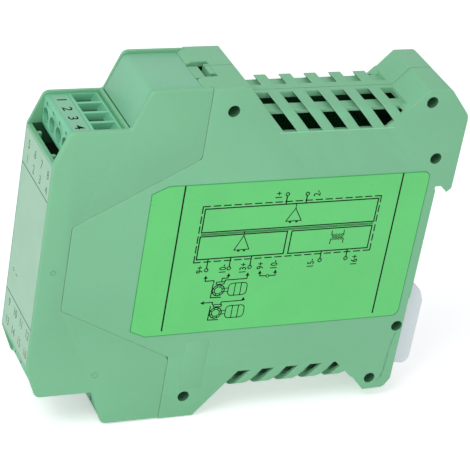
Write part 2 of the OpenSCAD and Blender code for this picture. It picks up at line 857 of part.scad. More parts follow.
module leg_holes(tier, up) {
    on_side(up) translate([0, plug_face_d + tier * tier_shift_d, plug_seat_z + tier * tier_drop])
        for (k = [0:poles - 1]) {
            leg_z = leg_first_z - k * leg_step_z + header_pin_w / 2;
            cross_bar([header_pin_p + header_pin_w / 2, leg_z],
                      leg_hole_dia, board_x - over, board_face_x + over);
        }
}

module circuit_board() {
    color("darkgreen") seat() difference() {
        profile(concat(board_outline, flipped(board_outline)), board_x, board_face_x);
        for (place = board_posts) cross_bar(place, peg_hole_dia, board_x - over, board_face_x + over);
        leg_holes(0, true);
        leg_holes(0, false);
        leg_holes(1, false);
    }
}

// A box that stands on the board, its middle given by depth and height
on_board_x = board_face_x + joint_gap / 2;
module standing(place, size) {
    near = [on_board_x, place[0] - size[1] / 2, place[1] - size[2] / 2];
    block(near, near + size);
}

// A chip on the board, with its leads at both sides
chip_leads = 4;
chip_lead_t = 0.3;
chip_lead_reach = 0.9;
module chip(place, size) {
    lead_d = size[1] + 2 * chip_lead_reach;
    first_z = place[1] - size[2] / 2 + size[2] / chip_leads / 2;
    union() {
        translate([chip_lead_t, 0, 0]) standing(place, size);
        for (k = [0:chip_leads - 1])
            standing([place[0], first_z + k * size[2] / chip_leads],
                     [chip_lead_t + size[0] / 2, lead_d, 2 * chip_lead_t]);
    }
}

amplifier_size = [2.2, 4, 8];
amplifier_places = [[28, 14], [28, -2], [44, -14], [86, 14]];
opto_size = [3.4, 6.4, 8.6];
opto_places = [[46, 12], [62, 20]];
module amplifier_chips() {
    color("dimgray") seat() for (place = amplifier_places) chip(place, amplifier_size);
}

module optocouplers() {
    color("ivory") seat() for (place = opto_places) chip(place, opto_size);
}

// Transformer: a core with two windows, and the winding round its middle leg
core_place = [70, -4];
core_d = 19;
core_leg = 4.6;
core_yoke = 3.1;
core_h = 16;
core_t = 6;
core_lift = 3.2;
window_d = 2.6;
window_h = core_h - 2 * core_yoke;
winding_gap = 0.2;
module transformer_core() {
    window_mid_d = core_leg / 2 + window_d / 2;
    color("darkslategray") seat() translate([on_board_x + core_lift, core_place[0], core_place[1]])
        difference() {
            block([0, -core_d / 2, -core_h / 2], [core_t, core_d / 2, core_h / 2]);
            for (side = [-1, 1]) translate([0, side * window_mid_d, 0])
                block([-over, -window_d / 2, -window_h / 2], [core_t + over, window_d / 2, window_h / 2]);
        }
}

module transformer_winding() {
    half_d = core_leg / 2 + window_d - winding_gap / 2;
    hole_half_d = core_leg / 2 + winding_gap;
    color("peru") seat() translate([on_board_x, core_place[0], core_place[1]]) difference() {
        block([0, -half_d, -window_h / 2 + winding_gap],
              [2 * core_lift + core_t, half_d, window_h / 2 - winding_gap]);
        block([core_lift - winding_gap, -hole_half_d, -window_h],
              [core_lift + core_t + winding_gap, hole_half_d, window_h]);
    }
}

can_dia = 8;
can_h = 11.5;
can_places = [[88, -8], [88, -19]];
can_round = 0.6;
module electrolytic_capacitors() {
    rim_r = can_dia / 2 - can_round;
    can = [[0, 0], [rim_r, 0], [can_dia / 2, can_round], [can_dia / 2, can_h - can_round],
           [rim_r, can_h], [0, can_h]];
    color("midnightblue") seat() for (place = can_places)
        translate([on_board_x, place[0], place[1]]) rotate([0, 90, 0]) rotate_extrude() polygon(can);
}

film_size = [9, 5, 11];
film_place = [54, -12];
module film_capacitor() {
    color("firebrick") seat() standing(film_place, film_size);
}

trimmer_size = [9.5, 4.8, 9.5];
trimmer_places = [[14, 5.2], [14, -5.6]];
trimmer_screw_dia = 2;
trimmer_screw_h = 0.8;
module trimmers() {
    color("royalblue") seat() for (place = trimmer_places) union() {
        front_d = place[0] - trimmer_size[1] / 2;
        standing(place, trimmer_size);
        translate([on_board_x + trimmer_size[0] - trimmer_screw_dia, 0, place[1]])
            rod(front_d - trimmer_screw_h, front_d + over, trimmer_screw_dia);
    }
}

// Power lamp behind the front wall, on bent leads
lamp_tip_d = 0.3;
lamp_len = 5;
lamp_flange_dia = 3.6;
lamp_lead = 0.5;
lamp_lead_pitch = 2;
lamp_lead_d = 7.5;
dome_step = 15;
module power_lamp() {
    lamp_r = lamp_dia / 2;
    body_h = lamp_len - lamp_r;
    bulb = concat([for (a = [0:dome_step:90]) [lamp_r * sin(a), lamp_r - lamp_r * cos(a)]],
                  [[lamp_r, body_h], [lamp_flange_dia / 2, body_h], [lamp_flange_dia / 2, lamp_len],
                   [0, lamp_len]]);
    color("limegreen") seat() union() {
        translate([lamp_x, lamp_tip_d, lamp_z]) rotate([-90, 0, 0]) rotate_extrude() polygon(bulb);
        for (side = [-1, 1]) translate([0, 0, lamp_z + side * lamp_lead_pitch / 2]) {
            block([lamp_x - lamp_lead / 2, lamp_tip_d + lamp_len - over / 2, -lamp_lead / 2],
                  [lamp_x + lamp_lead / 2, lamp_lead_d, lamp_lead / 2]);
            block([on_board_x, lamp_lead_d - lamp_lead, -lamp_lead / 2],
                  [lamp_x, lamp_lead_d, lamp_lead / 2]);
        }
    }
}

// Rail latch and its spring

latch_lip_reach = 2.1;
latch_tip = [2.7, -15.7];
latch_slope = [5.6, -18.2];
latch_round = 1.6;
latch_gap = 0.15;
tongue_w = 11.6;
tongue_back = 4.5;
tongue_front_d = rail_depth - tongue_back;
latch_slot_clear = 0.1;
latch_nose_h = 1.9;

module rail_latch() {
    face_d = rail_depth + latch_gap;
    rear_d = rail_depth + latch_reach;
    slope_d = rail_depth + latch_slope[0];
    inner_d = rail_depth - wall - latch_gap;
    outer = [[face_d, latch_top_z], [rail_depth + latch_lip_reach, latch_top_z],
             [rail_depth + latch_tip[0], latch_tip[1]], [slope_d, latch_slope[1]],
             [rear_d, latch_neck_top_z - latch_reach / 2], [rear_d, latch_foot_z + latch_nose_h],
             [slope_d, latch_foot_z], [face_d, latch_foot_z + latch_nose_h / 2]];
    radii = [0, joint_gap, small_round / 2, small_round,
             latch_round, latch_round, latch_round, small_round];
    slot_dia = pin_dia + 2 * latch_slot_clear;
    slot_top = latch_pin + [0, latch_travel + latch_slot_clear];
    color(latch_grey) seat() difference() {
        union() {
            profile(rounded(outer, radii), -latch_w / 2, latch_w / 2);
            block([-latch_slot_w / 2 + latch_clear, inner_d - joint_gap, latch_neck_foot_z],
                  [latch_slot_w / 2 - latch_clear, face_d + over, latch_neck_top_z]);
            block([-tongue_w / 2, tongue_front_d, latch_neck_foot_z],
                  [tongue_w / 2, inner_d, latch_neck_top_z]);
        }
        for (place = [latch_pin, slot_top]) cross_bar(place, slot_dia, -tongue_w, tongue_w);
        block([-tongue_w, latch_pin[0] - slot_dia / 2, latch_pin[1]],
              [tongue_w, latch_pin[0] + slot_dia / 2, slot_top[1]]);
    }
}

ring_sides = 6;
rings_a_turn = 12;
module latch_spring() {
    rings = spring_turns * rings_a_turn;
    length = latch_neck_foot_z - spring_seat_z - spring_wire - joint_gap;
    turn_r = spring_dia / 2 - spring_wire / 2;
    points = [for (i = [0:rings]) let (a = 360 * i / rings_a_turn) for (j = [0:ring_sides - 1])
        let (b = 360 * j / ring_sides, r = turn_r + spring_wire / 2 * cos(b))
        [r * cos(a), r * sin(a), length * i / rings + spring_wire / 2 * sin(b)]];
    sides = [for (i = [0:rings - 1]) for (j = [0:ring_sides - 1])
        let (k = (j + 1) % ring_sides, low = i * ring_sides, high = low + ring_sides)
        for (face = [[low + j, high + k, low + k], [low + j, high + j, high + k]]) face];
    ends = [[for (j = [0:ring_sides - 1]) j], [for (j = [ring_sides - 1:-1:0]) rings * ring_sides + j]];
    color("gainsboro") seat() translate([0, spring_d, spring_seat_z + spring_wire / 2 + joint_gap / 2])
        polyhedron(points, concat(sides, ends));
}

// Labels

module front_label() {
    edge_x = half_w - label_margin - joint_gap;
    edge_z = front_h / 2 - label_margin - joint_gap;
    color(film_green) seat()
        block([-edge_x, label_recess - label_t, -edge_z], [edge_x, label_recess, edge_z]);
}

label_cut_d = 4.4;
label_cut_h = 2.1;
label_round = 2;
module side_label() {
    top = [[side_label_front_d, side_label_h / 2 - label_cut_h],
           [side_label_front_d + label_cut_d, side_label_h / 2], [side_label_rear_d, side_label_h / 2]];
    radii = [0, small_round, label_round, label_round, small_round, 0];
    color(label_green) seat() profile(rounded(concat(top, flipped(top)), radii), half_w, half_w + label_t);
}

front_cap();
rear_shell_right();
rear_shell_left();
filler_cover();
front_label();
side_label();
rail_latch();
latch_spring();
circuit_board();
power_lamp();
transformer_core();
transformer_winding();
electrolytic_capacitors();
film_capacitor();
amplifier_chips();
optocouplers();
trimmers();
header(0, true);  // header_1_4
header(0, false);  // header_9_12
header(1, false);  // header_13_16
pins(0, true);  // pins_1_4
pins(0, false);  // pins_9_12
pins(1, false);  // pins_13_16
plug(0, true);  // plug_1_4
plug(0, false);  // plug_9_12
plug(1, false);  // plug_13_16
marker(0, true);  // marker_1_4
marker(0, false);  // marker_9_12
marker(1, false);  // marker_13_16
contacts(0, true);  // contacts_1_4
contacts(0, false);  // contacts_9_12
contacts(1, false);  // contacts_13_16
screw(0, 0, true);  // screw_1
screw(1, 0, true);  // screw_2
screw(2, 0, true);  // screw_3
screw(3, 0, true);  // screw_4
screw(0, 0, false);  // screw_9
screw(1, 0, false);  // screw_10
screw(2, 0, false);  // screw_11
screw(3, 0, false);  // screw_12
screw(0, 1, false);  // screw_13
screw(1, 1, false);  // screw_14
screw(2, 1, false);  // screw_15
screw(3, 1, false);  // screw_16
clamp(0, 0, true);  // clamp_1
clamp(1, 0, true);  // clamp_2
clamp(2, 0, true);  // clamp_3
clamp(3, 0, true);  // clamp_4
clamp(0, 0, false);  // clamp_9
clamp(1, 0, false);  // clamp_10
clamp(2, 0, false);  // clamp_11
clamp(3, 0, false);  // clamp_12
clamp(0, 1, false);  // clamp_13
clamp(1, 1, false);  // clamp_14
clamp(2, 1, false);  // clamp_15
clamp(3, 1, false);  // clamp_16
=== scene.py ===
import bmesh
import bpy
import math
from mathutils import Matrix, Vector


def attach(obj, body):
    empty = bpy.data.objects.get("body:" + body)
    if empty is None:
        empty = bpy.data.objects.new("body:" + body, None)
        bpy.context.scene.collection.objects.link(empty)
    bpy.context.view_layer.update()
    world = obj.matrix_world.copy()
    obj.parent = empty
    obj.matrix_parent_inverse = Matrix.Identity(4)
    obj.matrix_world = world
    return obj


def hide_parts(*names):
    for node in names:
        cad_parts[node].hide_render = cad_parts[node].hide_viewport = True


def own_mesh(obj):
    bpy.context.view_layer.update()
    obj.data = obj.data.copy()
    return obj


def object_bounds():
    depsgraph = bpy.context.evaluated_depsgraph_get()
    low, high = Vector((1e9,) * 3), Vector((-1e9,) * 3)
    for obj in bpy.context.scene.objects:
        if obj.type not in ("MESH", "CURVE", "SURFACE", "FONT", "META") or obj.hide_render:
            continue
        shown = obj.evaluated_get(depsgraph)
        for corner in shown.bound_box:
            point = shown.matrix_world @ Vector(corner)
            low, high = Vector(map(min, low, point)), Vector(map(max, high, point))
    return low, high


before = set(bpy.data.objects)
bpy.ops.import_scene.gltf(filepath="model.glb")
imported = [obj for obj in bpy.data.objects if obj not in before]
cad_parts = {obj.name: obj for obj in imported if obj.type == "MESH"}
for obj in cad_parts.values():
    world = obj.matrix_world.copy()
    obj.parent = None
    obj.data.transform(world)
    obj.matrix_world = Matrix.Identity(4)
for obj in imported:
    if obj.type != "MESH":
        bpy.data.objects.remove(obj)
cad_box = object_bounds()
scene = bpy.context.scene
MM = 0.001

# The camera found from the photograph: its right and down directions, its place and its focal length
CAMERA_RIGHT = (0.3674, 0.9166, 0.1576)
CAMERA_DOWN = (0.5230, -0.0635, -0.8500)
CAMERA_PLACE = (0.43301, -0.27225, 0.28256)
FOCAL_PIXELS, PHOTO_PIXELS = 2151.8, 470
SENSOR_WIDTH = 36
CLIP_NEAR, CLIP_FAR = 0.02, 20

# Light: what the lamps aim at, and the colours and strengths of the room
AIM = (0, -0.05, 0)
LAMP_WHITE, ROOM_WHITE = (0.93, 0.98, 1), (0.97, 0.985, 1, 1)
ROOM_LIGHT = 0.5
FLOOR_GLOW = 0.42
FLOOR_RADIUS, FLOOR_GAP = 2.5, 0.0004

# Depths from the front face and heights from the middle, in millimetres, as on the drawing
HALF_W = 11.25
RAIL = 107.3
LABEL_FACE = HALF_W + 0.11
FILM_FACE = -0.01
NEAR = 0.02
SIDEWAYS = 0.98


# Camera, light and floor

def set_camera():
    right = Vector(CAMERA_RIGHT).normalized()
    down = Vector(CAMERA_DOWN).normalized()
    forward = right.cross(down)
    data = bpy.data.cameras.new("camera")
    data.sensor_width = SENSOR_WIDTH
    data.lens = FOCAL_PIXELS * SENSOR_WIDTH / PHOTO_PIXELS
    data.clip_start, data.clip_end = CLIP_NEAR, CLIP_FAR
    camera = bpy.data.objects.new("camera", data)
    scene.collection.objects.link(camera)
    turn = Matrix((right, -down, -forward)).transposed().to_4x4()
    camera.matrix_world = Matrix.Translation(CAMERA_PLACE) @ turn
    scene.camera = camera


def add_lamp(name, place, size, watts, colour=(1, 1, 1)):
    data = bpy.data.lights.new(name, "AREA")
    data.shape = "DISK"
    data.size, data.energy, data.color = size, watts, colour
    lamp = bpy.data.objects.new(name, data)
    scene.collection.objects.link(lamp)
    lamp.location = place
    lamp.rotation_euler = (Vector(AIM) - Vector(place)).to_track_quat("-Z", "Y").to_euler()


def seen_or_lit(nodes, links):
    # 1 for rays from the camera, from gloss and through glass, 0 for the light that falls on things
    path = nodes.new("ShaderNodeLightPath")
    first = nodes.new("ShaderNodeMath")
    first.operation, first.use_clamp = "ADD", True
    second = nodes.new("ShaderNodeMath")
    second.operation, second.use_clamp = "ADD", True
    links.new(path.outputs["Is Camera Ray"], first.inputs[0])
    links.new(path.outputs["Is Glossy Ray"], first.inputs[1])
    links.new(first.outputs[0], second.inputs[0])
    links.new(path.outputs["Is Transmission Ray"], second.inputs[1])
    return second.outputs[0]


def set_light():
    world = bpy.data.worlds.new("studio")
    scene.world = world
    world.use_nodes = True
    nodes, links = world.node_tree.nodes, world.node_tree.links
    nodes.clear()
    out = nodes.new("ShaderNodeOutputWorld")
    room, white = nodes.new("ShaderNodeBackground"), nodes.new("ShaderNodeBackground")
    mix = nodes.new("ShaderNodeMixShader")
    room.inputs["Color"].default_value = ROOM_WHITE
    room.inputs["Strength"].default_value = ROOM_LIGHT
    white.inputs["Color"].default_value = (1, 1, 1, 1)
    links.new(seen_or_lit(nodes, links), mix.inputs[0])
    links.new(room.outputs[0], mix.inputs[1])
    links.new(white.outputs[0], mix.inputs[2])
    links.new(mix.outputs[0], out.inputs[0])
    add_lamp("key lamp", place=(0.35, -0.75, 0.95), size=0.7, watts=5.8, colour=LAMP_WHITE)
    add_lamp("side lamp", place=(0.95, -0.2, 0.35), size=0.8, watts=1.6)
    scene.view_settings.view_transform = "Standard"


# Finishes

def tone(red, green, blue):
    # A colour as read on a screen, 0 to 255, made linear
    def linear(v):
        return ((v / 255 + 0.055) / 1.055) ** 2.4 if v > 10 else v / 255 / 12.92

    return linear(red), linear(green), linear(blue), 1


def shade(colour, share):
    return tuple(v * share for v in colour[:3]) + (1,)


class Finish:
    # A material under way: its nodes, and the last colour, roughness and bump in it
    def __init__(self, name):
        self.material = bpy.data.materials.new(name)
        self.material.use_nodes = True
        tree = self.material.node_tree
        self.nodes, self.links = tree.nodes, tree.links
        self.nodes.clear()
        self.out = self.nodes.new("ShaderNodeOutputMaterial")
        self.shader = self.nodes.new("ShaderNodeBsdfPrincipled")
        self.links.new(self.shader.outputs[0], self.out.inputs[0])
        self.place = self.nodes.new("ShaderNodeTexCoord").outputs["Object"]
        self.normal = None

    def noise(self, size_mm, detail=3, stretch=(1, 1, 1), roughness=0.5):
        spread = self.nodes.new("ShaderNodeMapping")
        spread.inputs["Scale"].default_value = stretch
        self.links.new(self.place, spread.inputs["Vector"])
        noise = self.nodes.new("ShaderNodeTexNoise")
        noise.inputs["Scale"].default_value = 1 / (size_mm * MM)
        noise.inputs["Detail"].default_value = detail
        noise.inputs["Roughness"].default_value = roughness
        self.links.new(spread.outputs[0], noise.inputs["Vector"])
        return noise.outputs["Fac"]

    def spread(self, noise, low=0, high=1):
        # Most of a noise lies between 0.3 and 0.7
        return self.ranged(noise, 0.3, 0.7, low, high)

    def ranged(self, value, from_low, from_high, to_low, to_high):
        node = self.nodes.new("ShaderNodeMapRange")
        ends = {"From Min": from_low, "From Max": from_high, "To Min": to_low, "To Max": to_high}
        for name, v in ends.items():
            node.inputs[name].default_value = v
        self.links.new(value, node.inputs["Value"])
        return node.outputs["Result"]

    def mixed(self, share, a, b):
        node = self.nodes.new("ShaderNodeMix")
        node.data_type = "RGBA"
        for value, socket in ((share, node.inputs["Factor"]), (a, node.inputs[6]), (b, node.inputs[7])):
            if isinstance(value, bpy.types.NodeSocket):
                self.links.new(value, socket)
            else:
                socket.default_value = value
        return node.outputs[2]

    def maths(self, what, a, b):
        node = self.nodes.new("ShaderNodeMath")
        node.operation, node.use_clamp = what, True
        for value, socket in ((a, node.inputs[0]), (b, node.inputs[1])):
            if isinstance(value, bpy.types.NodeSocket):
                self.links.new(value, socket)
            else:
                socket.default_value = value
        return node.outputs[0]

    def edges(self, radius_mm):
        # How near an edge a point lies, from the difference between a softened normal and the true one
        bevel = self.nodes.new("ShaderNodeBevel")
        bevel.samples = 4
        bevel.inputs["Radius"].default_value = radius_mm * MM
        true = self.nodes.new("ShaderNodeNewGeometry").outputs["Normal"]
        dot = self.nodes.new("ShaderNodeVectorMath")
        dot.operation = "DOT_PRODUCT"
        self.links.new(bevel.outputs[0], dot.inputs[0])
        self.links.new(true, dot.inputs[1])
        return self.ranged(dot.outputs["Value"], 0.98, 0.75, 0, 1)

    def soften(self, radius_mm):
        bevel = self.nodes.new("ShaderNodeBevel")
        bevel.samples = 6
        bevel.inputs["Radius"].default_value = radius_mm * MM
        self.normal = bevel.outputs[0]

    def bump(self, value, height_mm, strength=1):
        node = self.nodes.new("ShaderNodeBump")
        node.inputs["Distance"].default_value = height_mm * MM
        node.inputs["Strength"].default_value = strength
        self.links.new(value, node.inputs["Height"])
        if self.normal:
            self.links.new(self.normal, node.inputs["Normal"])
        self.normal = node.outputs[0]

    def done(self, colour, roughness, metallic=0, **sockets):
        for value, name in ((colour, "Base Color"), (roughness, "Roughness")):
            if isinstance(value, bpy.types.NodeSocket):
                self.links.new(value, self.shader.inputs[name])
            else:
                self.shader.inputs[name].default_value = value
        self.shader.inputs["Metallic"].default_value = metallic
        for name, value in sockets.items():
            self.shader.inputs[name.replace("_", " ")].default_value = value
        if self.normal:
            self.links.new(self.normal, self.shader.inputs["Normal"])
        return self.material


def moulded_plastic(name, colour, edge_mm=0.35, grain_mm=0.28, grain_deep=0.006, rough=0.46, worn=0.3):
    # Injection-moulded plastic: faint flow marks, a fine spark-eroded grain, and edges made paler, partly as
    # rubbed wear and partly as a painted highlight
    f = Finish(name)
    f.soften(edge_mm)
    broad = f.noise(size_mm=26, detail=2, stretch=(1, 0.6, 1))
    fine = f.noise(size_mm=1.6, detail=4)
    mottled = f.mixed(f.spread(broad), shade(colour, 0.965), shade(colour, 1.035))
    speckled = f.mixed(f.ranged(fine, 0.45, 0.75, 0, 0.25), mottled, shade(colour, 0.93))
    # The pale edge colour stands partly for wear and partly for a painted highlight
    pale = tuple(v + (1 - v) * 0.22 for v in colour[:3]) + (1,)
    uneven = f.ranged(f.noise(size_mm=3.5, detail=4), 0.35, 0.62, 0.35, 1)
    wear_and_highlight = f.maths("MULTIPLY", f.edges(edge_mm * 2), uneven)
    wear_and_painted_light = f.mixed(f.maths("MULTIPLY", wear_and_highlight, worn * 2), speckled, pale)
    # Faces marked for painted shade go towards the colour of plastic in deep shade
    painted_shade_mask = f.nodes.new("ShaderNodeAttribute")
    painted_shade_mask.attribute_name = "painted_shade_mask"
    deep_shade_colour = (colour[0] * 0.07, colour[1] * 0.2, colour[2] * 0.12, 1)
    wear_and_painted_light = f.mixed(painted_shade_mask.outputs["Fac"], wear_and_painted_light, deep_shade_colour)
    f.bump(f.noise(size_mm=grain_mm, detail=2), grain_deep)
    f.bump(broad, 0.02, 0.4)
    rough_value = f.spread(f.noise(size_mm=0.9, detail=3), rough - 0.05, rough + 0.07)
    return f.done(wear_and_painted_light, rough_value, Specular_IOR_Level=0.42)


def printed_film(name, colour, rough=0.32):
    # Polyester film: nearly even, with a faint weave of the print screen and a slight ripple
    f = Finish(name)
    f.soften(0.1)
    cloud = f.noise(size_mm=14, detail=3)
    dots = f.noise(size_mm=0.35, detail=2)
    even = f.mixed(f.spread(cloud), shade(colour, 0.97), shade(colour, 1.03))
    screened = f.mixed(f.ranged(dots, 0.4, 0.7, 0, 0.35), even, shade(colour, 0.93))
    f.bump(cloud, 0.03, 0.5)
    f.bump(dots, 0.002)
    rough_value = f.spread(f.noise(size_mm=6, detail=4), rough - 0.05, rough + 0.08)
    return f.done(screened, rough_value, Specular_IOR_Level=0.5)


def print_ink(name, colour):
    f = Finish(name)
    spots = f.noise(size_mm=0.25, detail=3)
    thin = tuple(v * 1.1 + 0.01 for v in colour[:3]) + (1,)
    cover = f.mixed(f.ranged(spots, 0.5, 0.75, 0, 0.5), colour, thin)
    f.bump(spots, 0.003)
    return f.done(cover, f.spread(spots, 0.5, 0.68), Specular_IOR_Level=0.12)


def plated_metal(name, colour, dark, rough=0.3, brushed=(1, 1, 1)):
    # Plated steel or brass: fine tool marks, dull patches and a darker film in them
    f = Finish(name)
    f.soften(0.08)
    shade_shares = f.noise(size_mm=0.35, detail=4, stretch=brushed)
    patches = f.noise(size_mm=1.8, detail=4)
    worn = f.mixed(f.ranged(patches, 0.42, 0.7, 0, 0.7), colour, dark)
    f.bump(shade_shares, 0.004)
    return f.done(worn, f.spread(patches, rough - 0.08, rough + 0.15), 1)


def board_finish():
    # Green solder resist over copper tracks, with bare fibre at the cut edge
    f = Finish("solder_resist")
    tracks = f.nodes.new("ShaderNodeTexBrick")
    tracks.inputs["Scale"].default_value = 260
    tracks.inputs["Mortar Size"].default_value = 0.045
    tracks.inputs["Mortar Smooth"].default_value = 0.2
    turned = f.nodes.new("ShaderNodeMapping")
    turned.inputs["Rotation"].default_value = (0, math.radians(90), 0)
    f.links.new(f.place, turned.inputs["Vector"])
    f.links.new(turned.outputs[0], tracks.inputs["Vector"])
    lines = tracks.outputs["Fac"]
    cloud = f.noise(size_mm=5, detail=3)
    resist = f.mixed(f.spread(cloud), tone(16, 78, 44), tone(22, 92, 52))
    colour = f.mixed(f.maths("MULTIPLY", lines, 0.8), resist, tone(46, 128, 70))
    f.bump(lines, 0.03)
    return f.done(colour, f.spread(cloud, 0.28, 0.4), Coat_Weight=0.3)


def packaged(name, colour, rough, fleck, size_mm=0.5):
    # Epoxy or plastic packages of the components, with a matt fleck
    f = Finish(name)
    f.soften(0.15)
    grit = f.noise(size_mm=size_mm, detail=4)
    cloud = f.noise(size_mm=4, detail=3)
    base = f.mixed(f.spread(cloud), shade(colour, 0.9), shade(colour, 1.08))
    mixed = f.mixed(f.ranged(grit, 0.5, 0.7, 0, 0.6), base, fleck)
    f.bump(grit, 0.012)
    return f.done(mixed, f.spread(grit, rough - 0.06, rough + 0.08))


def lamp_finish():
    f = Finish("lamp_lens")
    rings = f.noise(size_mm=0.8, detail=2)
    glow = f.mixed(f.spread(rings), tone(70, 190, 90), tone(110, 225, 120))
    f.bump(rings, 0.004)
    return f.done(glow, f.spread(rings, 0.12, 0.2), Transmission_Weight=0.25)


def floor_finish():
    # A plain pale floor: it shows white and keeps the shadow of what stands on it
    f = Finish("pale_floor")
    cloud = f.noise(size_mm=300, detail=2)
    pale = f.mixed(f.spread(cloud), (0.97, 0.975, 0.98, 1), (1, 1, 1, 1))
    material = f.done(pale, 0.7, Specular_IOR_Level=0.1)
    glow, both = f.nodes.new("ShaderNodeEmission"), f.nodes.new("ShaderNodeAddShader")
    glow.inputs["Color"].default_value = (1, 1, 1, 1)
    f.links.new(f.ranged(seen_or_lit(f.nodes, f.links), 0, 1, 0, FLOOR_GLOW), glow.inputs["Strength"])
    f.links.new(f.shader.outputs[0], both.inputs[0])
    f.links.new(glow.outputs[0], both.inputs[1])
    f.links.new(both.outputs[0], f.out.inputs[0])
    return material


def set_floor():
    bpy.ops.object.select_all(action="DESELECT")
    below = (AIM[0], AIM[1], cad_box[0].z - FLOOR_GAP)
    bpy.ops.mesh.primitive_circle_add(vertices=96, radius=FLOOR_RADIUS, fill_type="NGON", location=below)
    floor = bpy.context.object
    floor.name = "floor"
    floor.data.materials.append(floor_finish())
    bpy.ops.object.transform_apply()


# Modelling

MERGE = 2e-6
FLAT = math.radians(0.6)


def only(*objects):
    bpy.ops.object.select_all(action="DESELECT")
    for o in objects:
        o.select_set(True)
    bpy.context.view_layer.objects.active = objects[0]


def placed(piece):
    # Puts the object's place, turn and size into its mesh
    only(piece)
    bpy.ops.object.transform_apply(location=True, rotation=True, scale=True)
    return piece


def joined(pieces, name):
    only(*pieces)
    if len(pieces) > 1:
        bpy.ops.object.join()
    pieces[0].name = pieces[0].data.name = name
    return pieces[0]


def finished(piece, material, body, slot=None, *nodes):
    piece.data.materials.clear()
    piece.data.materials.append(material)
    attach(piece, body)
    if nodes:
        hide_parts(*nodes)
    return piece


def copy_of(node, name):
    # The node's own shape as a closed mesh, with its flat faces whole again
    piece = bpy.data.objects.new(name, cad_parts[node].data.copy())
    scene.collection.objects.link(piece)
    only(piece)
    bpy.ops.mesh.customdata_custom_splitnormals_clear()
    bpy.ops.object.mode_set(mode="EDIT")
    bpy.ops.mesh.select_all(action="SELECT")
    bpy.ops.mesh.remove_doubles(threshold=MERGE)
    bpy.ops.mesh.dissolve_limited(angle_limit=FLAT)
    bpy.ops.object.mode_set(mode="OBJECT")
    return piece


def thinned(piece, outer, way_mm):
    # Moves the outer face of a sheet in, to leave room for the print on it
    only(piece)
    bpy.ops.object.mode_set(mode="EDIT")
    bpy.ops.mesh.select_mode(type="VERT")
    bpy.ops.mesh.select_all(action="DESELECT")
    mesh = bmesh.from_edit_mesh(piece.data)
    for vert in mesh.verts:
        vert.select_set(outer(vert.co / MM))
    mesh.select_flush_mode()
    bmesh.update_edit_mesh(piece.data)
    bpy.ops.transform.translate(value=tuple(v * MM for v in way_mm))
    bpy.ops.object.mode_set(mode="OBJECT")
    return piece


def fillet(piece, radius_mm, wanted, steps=3, sharper=50):
    # Rounds the outward edges that the test picks
    only(piece)
    bpy.ops.object.mode_set(mode="EDIT")
    bpy.ops.mesh.select_mode(type="EDGE")
    bpy.ops.mesh.select_all(action="DESELECT")
    mesh = bmesh.from_edit_mesh(piece.data)
    found = False
    for edge in mesh.edges:
        if len(edge.link_faces) != 2 or edge.calc_face_angle_signed(0) < math.radians(sharper):
            continue
        a, b = (v.co / MM for v in edge.verts)
        if wanted(a, b, [f.normal for f in edge.link_faces]):
            edge.select_set(True)
            found = True
    bmesh.update_edit_mesh(piece.data)
    if found:
        bpy.ops.mesh.bevel(offset=radius_mm * MM, segments=steps, affect="EDGES", clamp_overlap=True)
    bpy.ops.object.mode_set(mode="OBJECT")
    return piece


def paint_shade(piece, share, inside):
    # Marks the faces inside holes and pockets with painted shade, as much as the share says
    shade_shares = piece.data.attributes.get("painted_shade_mask") or piece.data.attributes.new("painted_shade_mask", "FLOAT", "FACE")
    for face in piece.data.polygons:
        if inside(face.center / MM, face.normal):
            shade_shares.data[face.index].value = share
    return piece


def smooth(piece, angle=38):
    only(piece)
    bpy.ops.object.shade_smooth_by_angle(angle=math.radians(angle))
    return piece


# Print

CAPITAL_SHARE = 0.7


def stroke(a, b, width):
    a, b = Vector(a), Vector(b)
    bpy.ops.mesh.primitive_plane_add(size=1, location=((a.x + b.x) / 2, (a.y + b.y) / 2, 0),
                                     rotation=(0, 0, math.atan2(b.y - a.y, b.x - a.x)))
    line = bpy.context.object
    line.scale = ((b - a).length + width * 0.6, width, 1)
    return placed(line)


def path(points, width, closed=False):
    ends = points[1:] + points[:1] if closed else points[1:]
    return [stroke(a, b, width) for a, b in zip(points, ends)]


def frame_of(low, high, width):
    return path([(low[0], low[1]), (high[0], low[1]), (high[0], high[1]), (low[0], high[1])], width, True)


def dashed(a, b, width, dash, gap):
    a, b = Vector(a), Vector(b)
    whole = (b - a).length
    count = max(1, round((whole + gap) / (dash + gap)))
    step = (whole + gap) / count
    way = (b - a).normalized()
    return [stroke(a + way * step * k, a + way * (step * k + step - gap), width) for k in range(count)]


def ring(middle, radius, width, vertices=28):
    bpy.ops.mesh.primitive_circle_add(vertices=vertices, radius=radius, fill_type="NGON",
                                      location=(*middle, 0))
    circle = bpy.context.object
    bpy.ops.object.mode_set(mode="EDIT")
    bpy.ops.mesh.inset(thickness=width)
    bpy.ops.mesh.delete(type="FACE")
    bpy.ops.object.mode_set(mode="OBJECT")
    return placed(circle)


def rounded_box(middle, size, radius, width):
    bpy.ops.mesh.primitive_plane_add(size=1, location=(*middle, 0))
    box = bpy.context.object
    box.scale = (*size, 1)
    placed(box)
    bpy.ops.object.mode_set(mode="EDIT")
    bpy.ops.mesh.select_all(action="SELECT")
    bpy.ops.mesh.bevel(offset=radius, segments=5, affect="VERTICES")
    bpy.ops.mesh.select_all(action="SELECT")
    bpy.ops.mesh.inset(thickness=width)
    bpy.ops.mesh.delete(type="FACE")
    bpy.ops.object.mode_set(mode="OBJECT")
    return box


def arrow(tip, way, size):
    # A filled arrow head
    tip, way = Vector(tip), Vector(way).normalized()
    middle = tip - way * size * 0.6
    turned = math.atan2(way.y, way.x) - math.radians(90)
    bpy.ops.mesh.primitive_circle_add(vertices=3, radius=size, fill_type="NGON", location=(*middle, 0),
                                      rotation=(0, 0, turned))
    return placed(bpy.context.object)


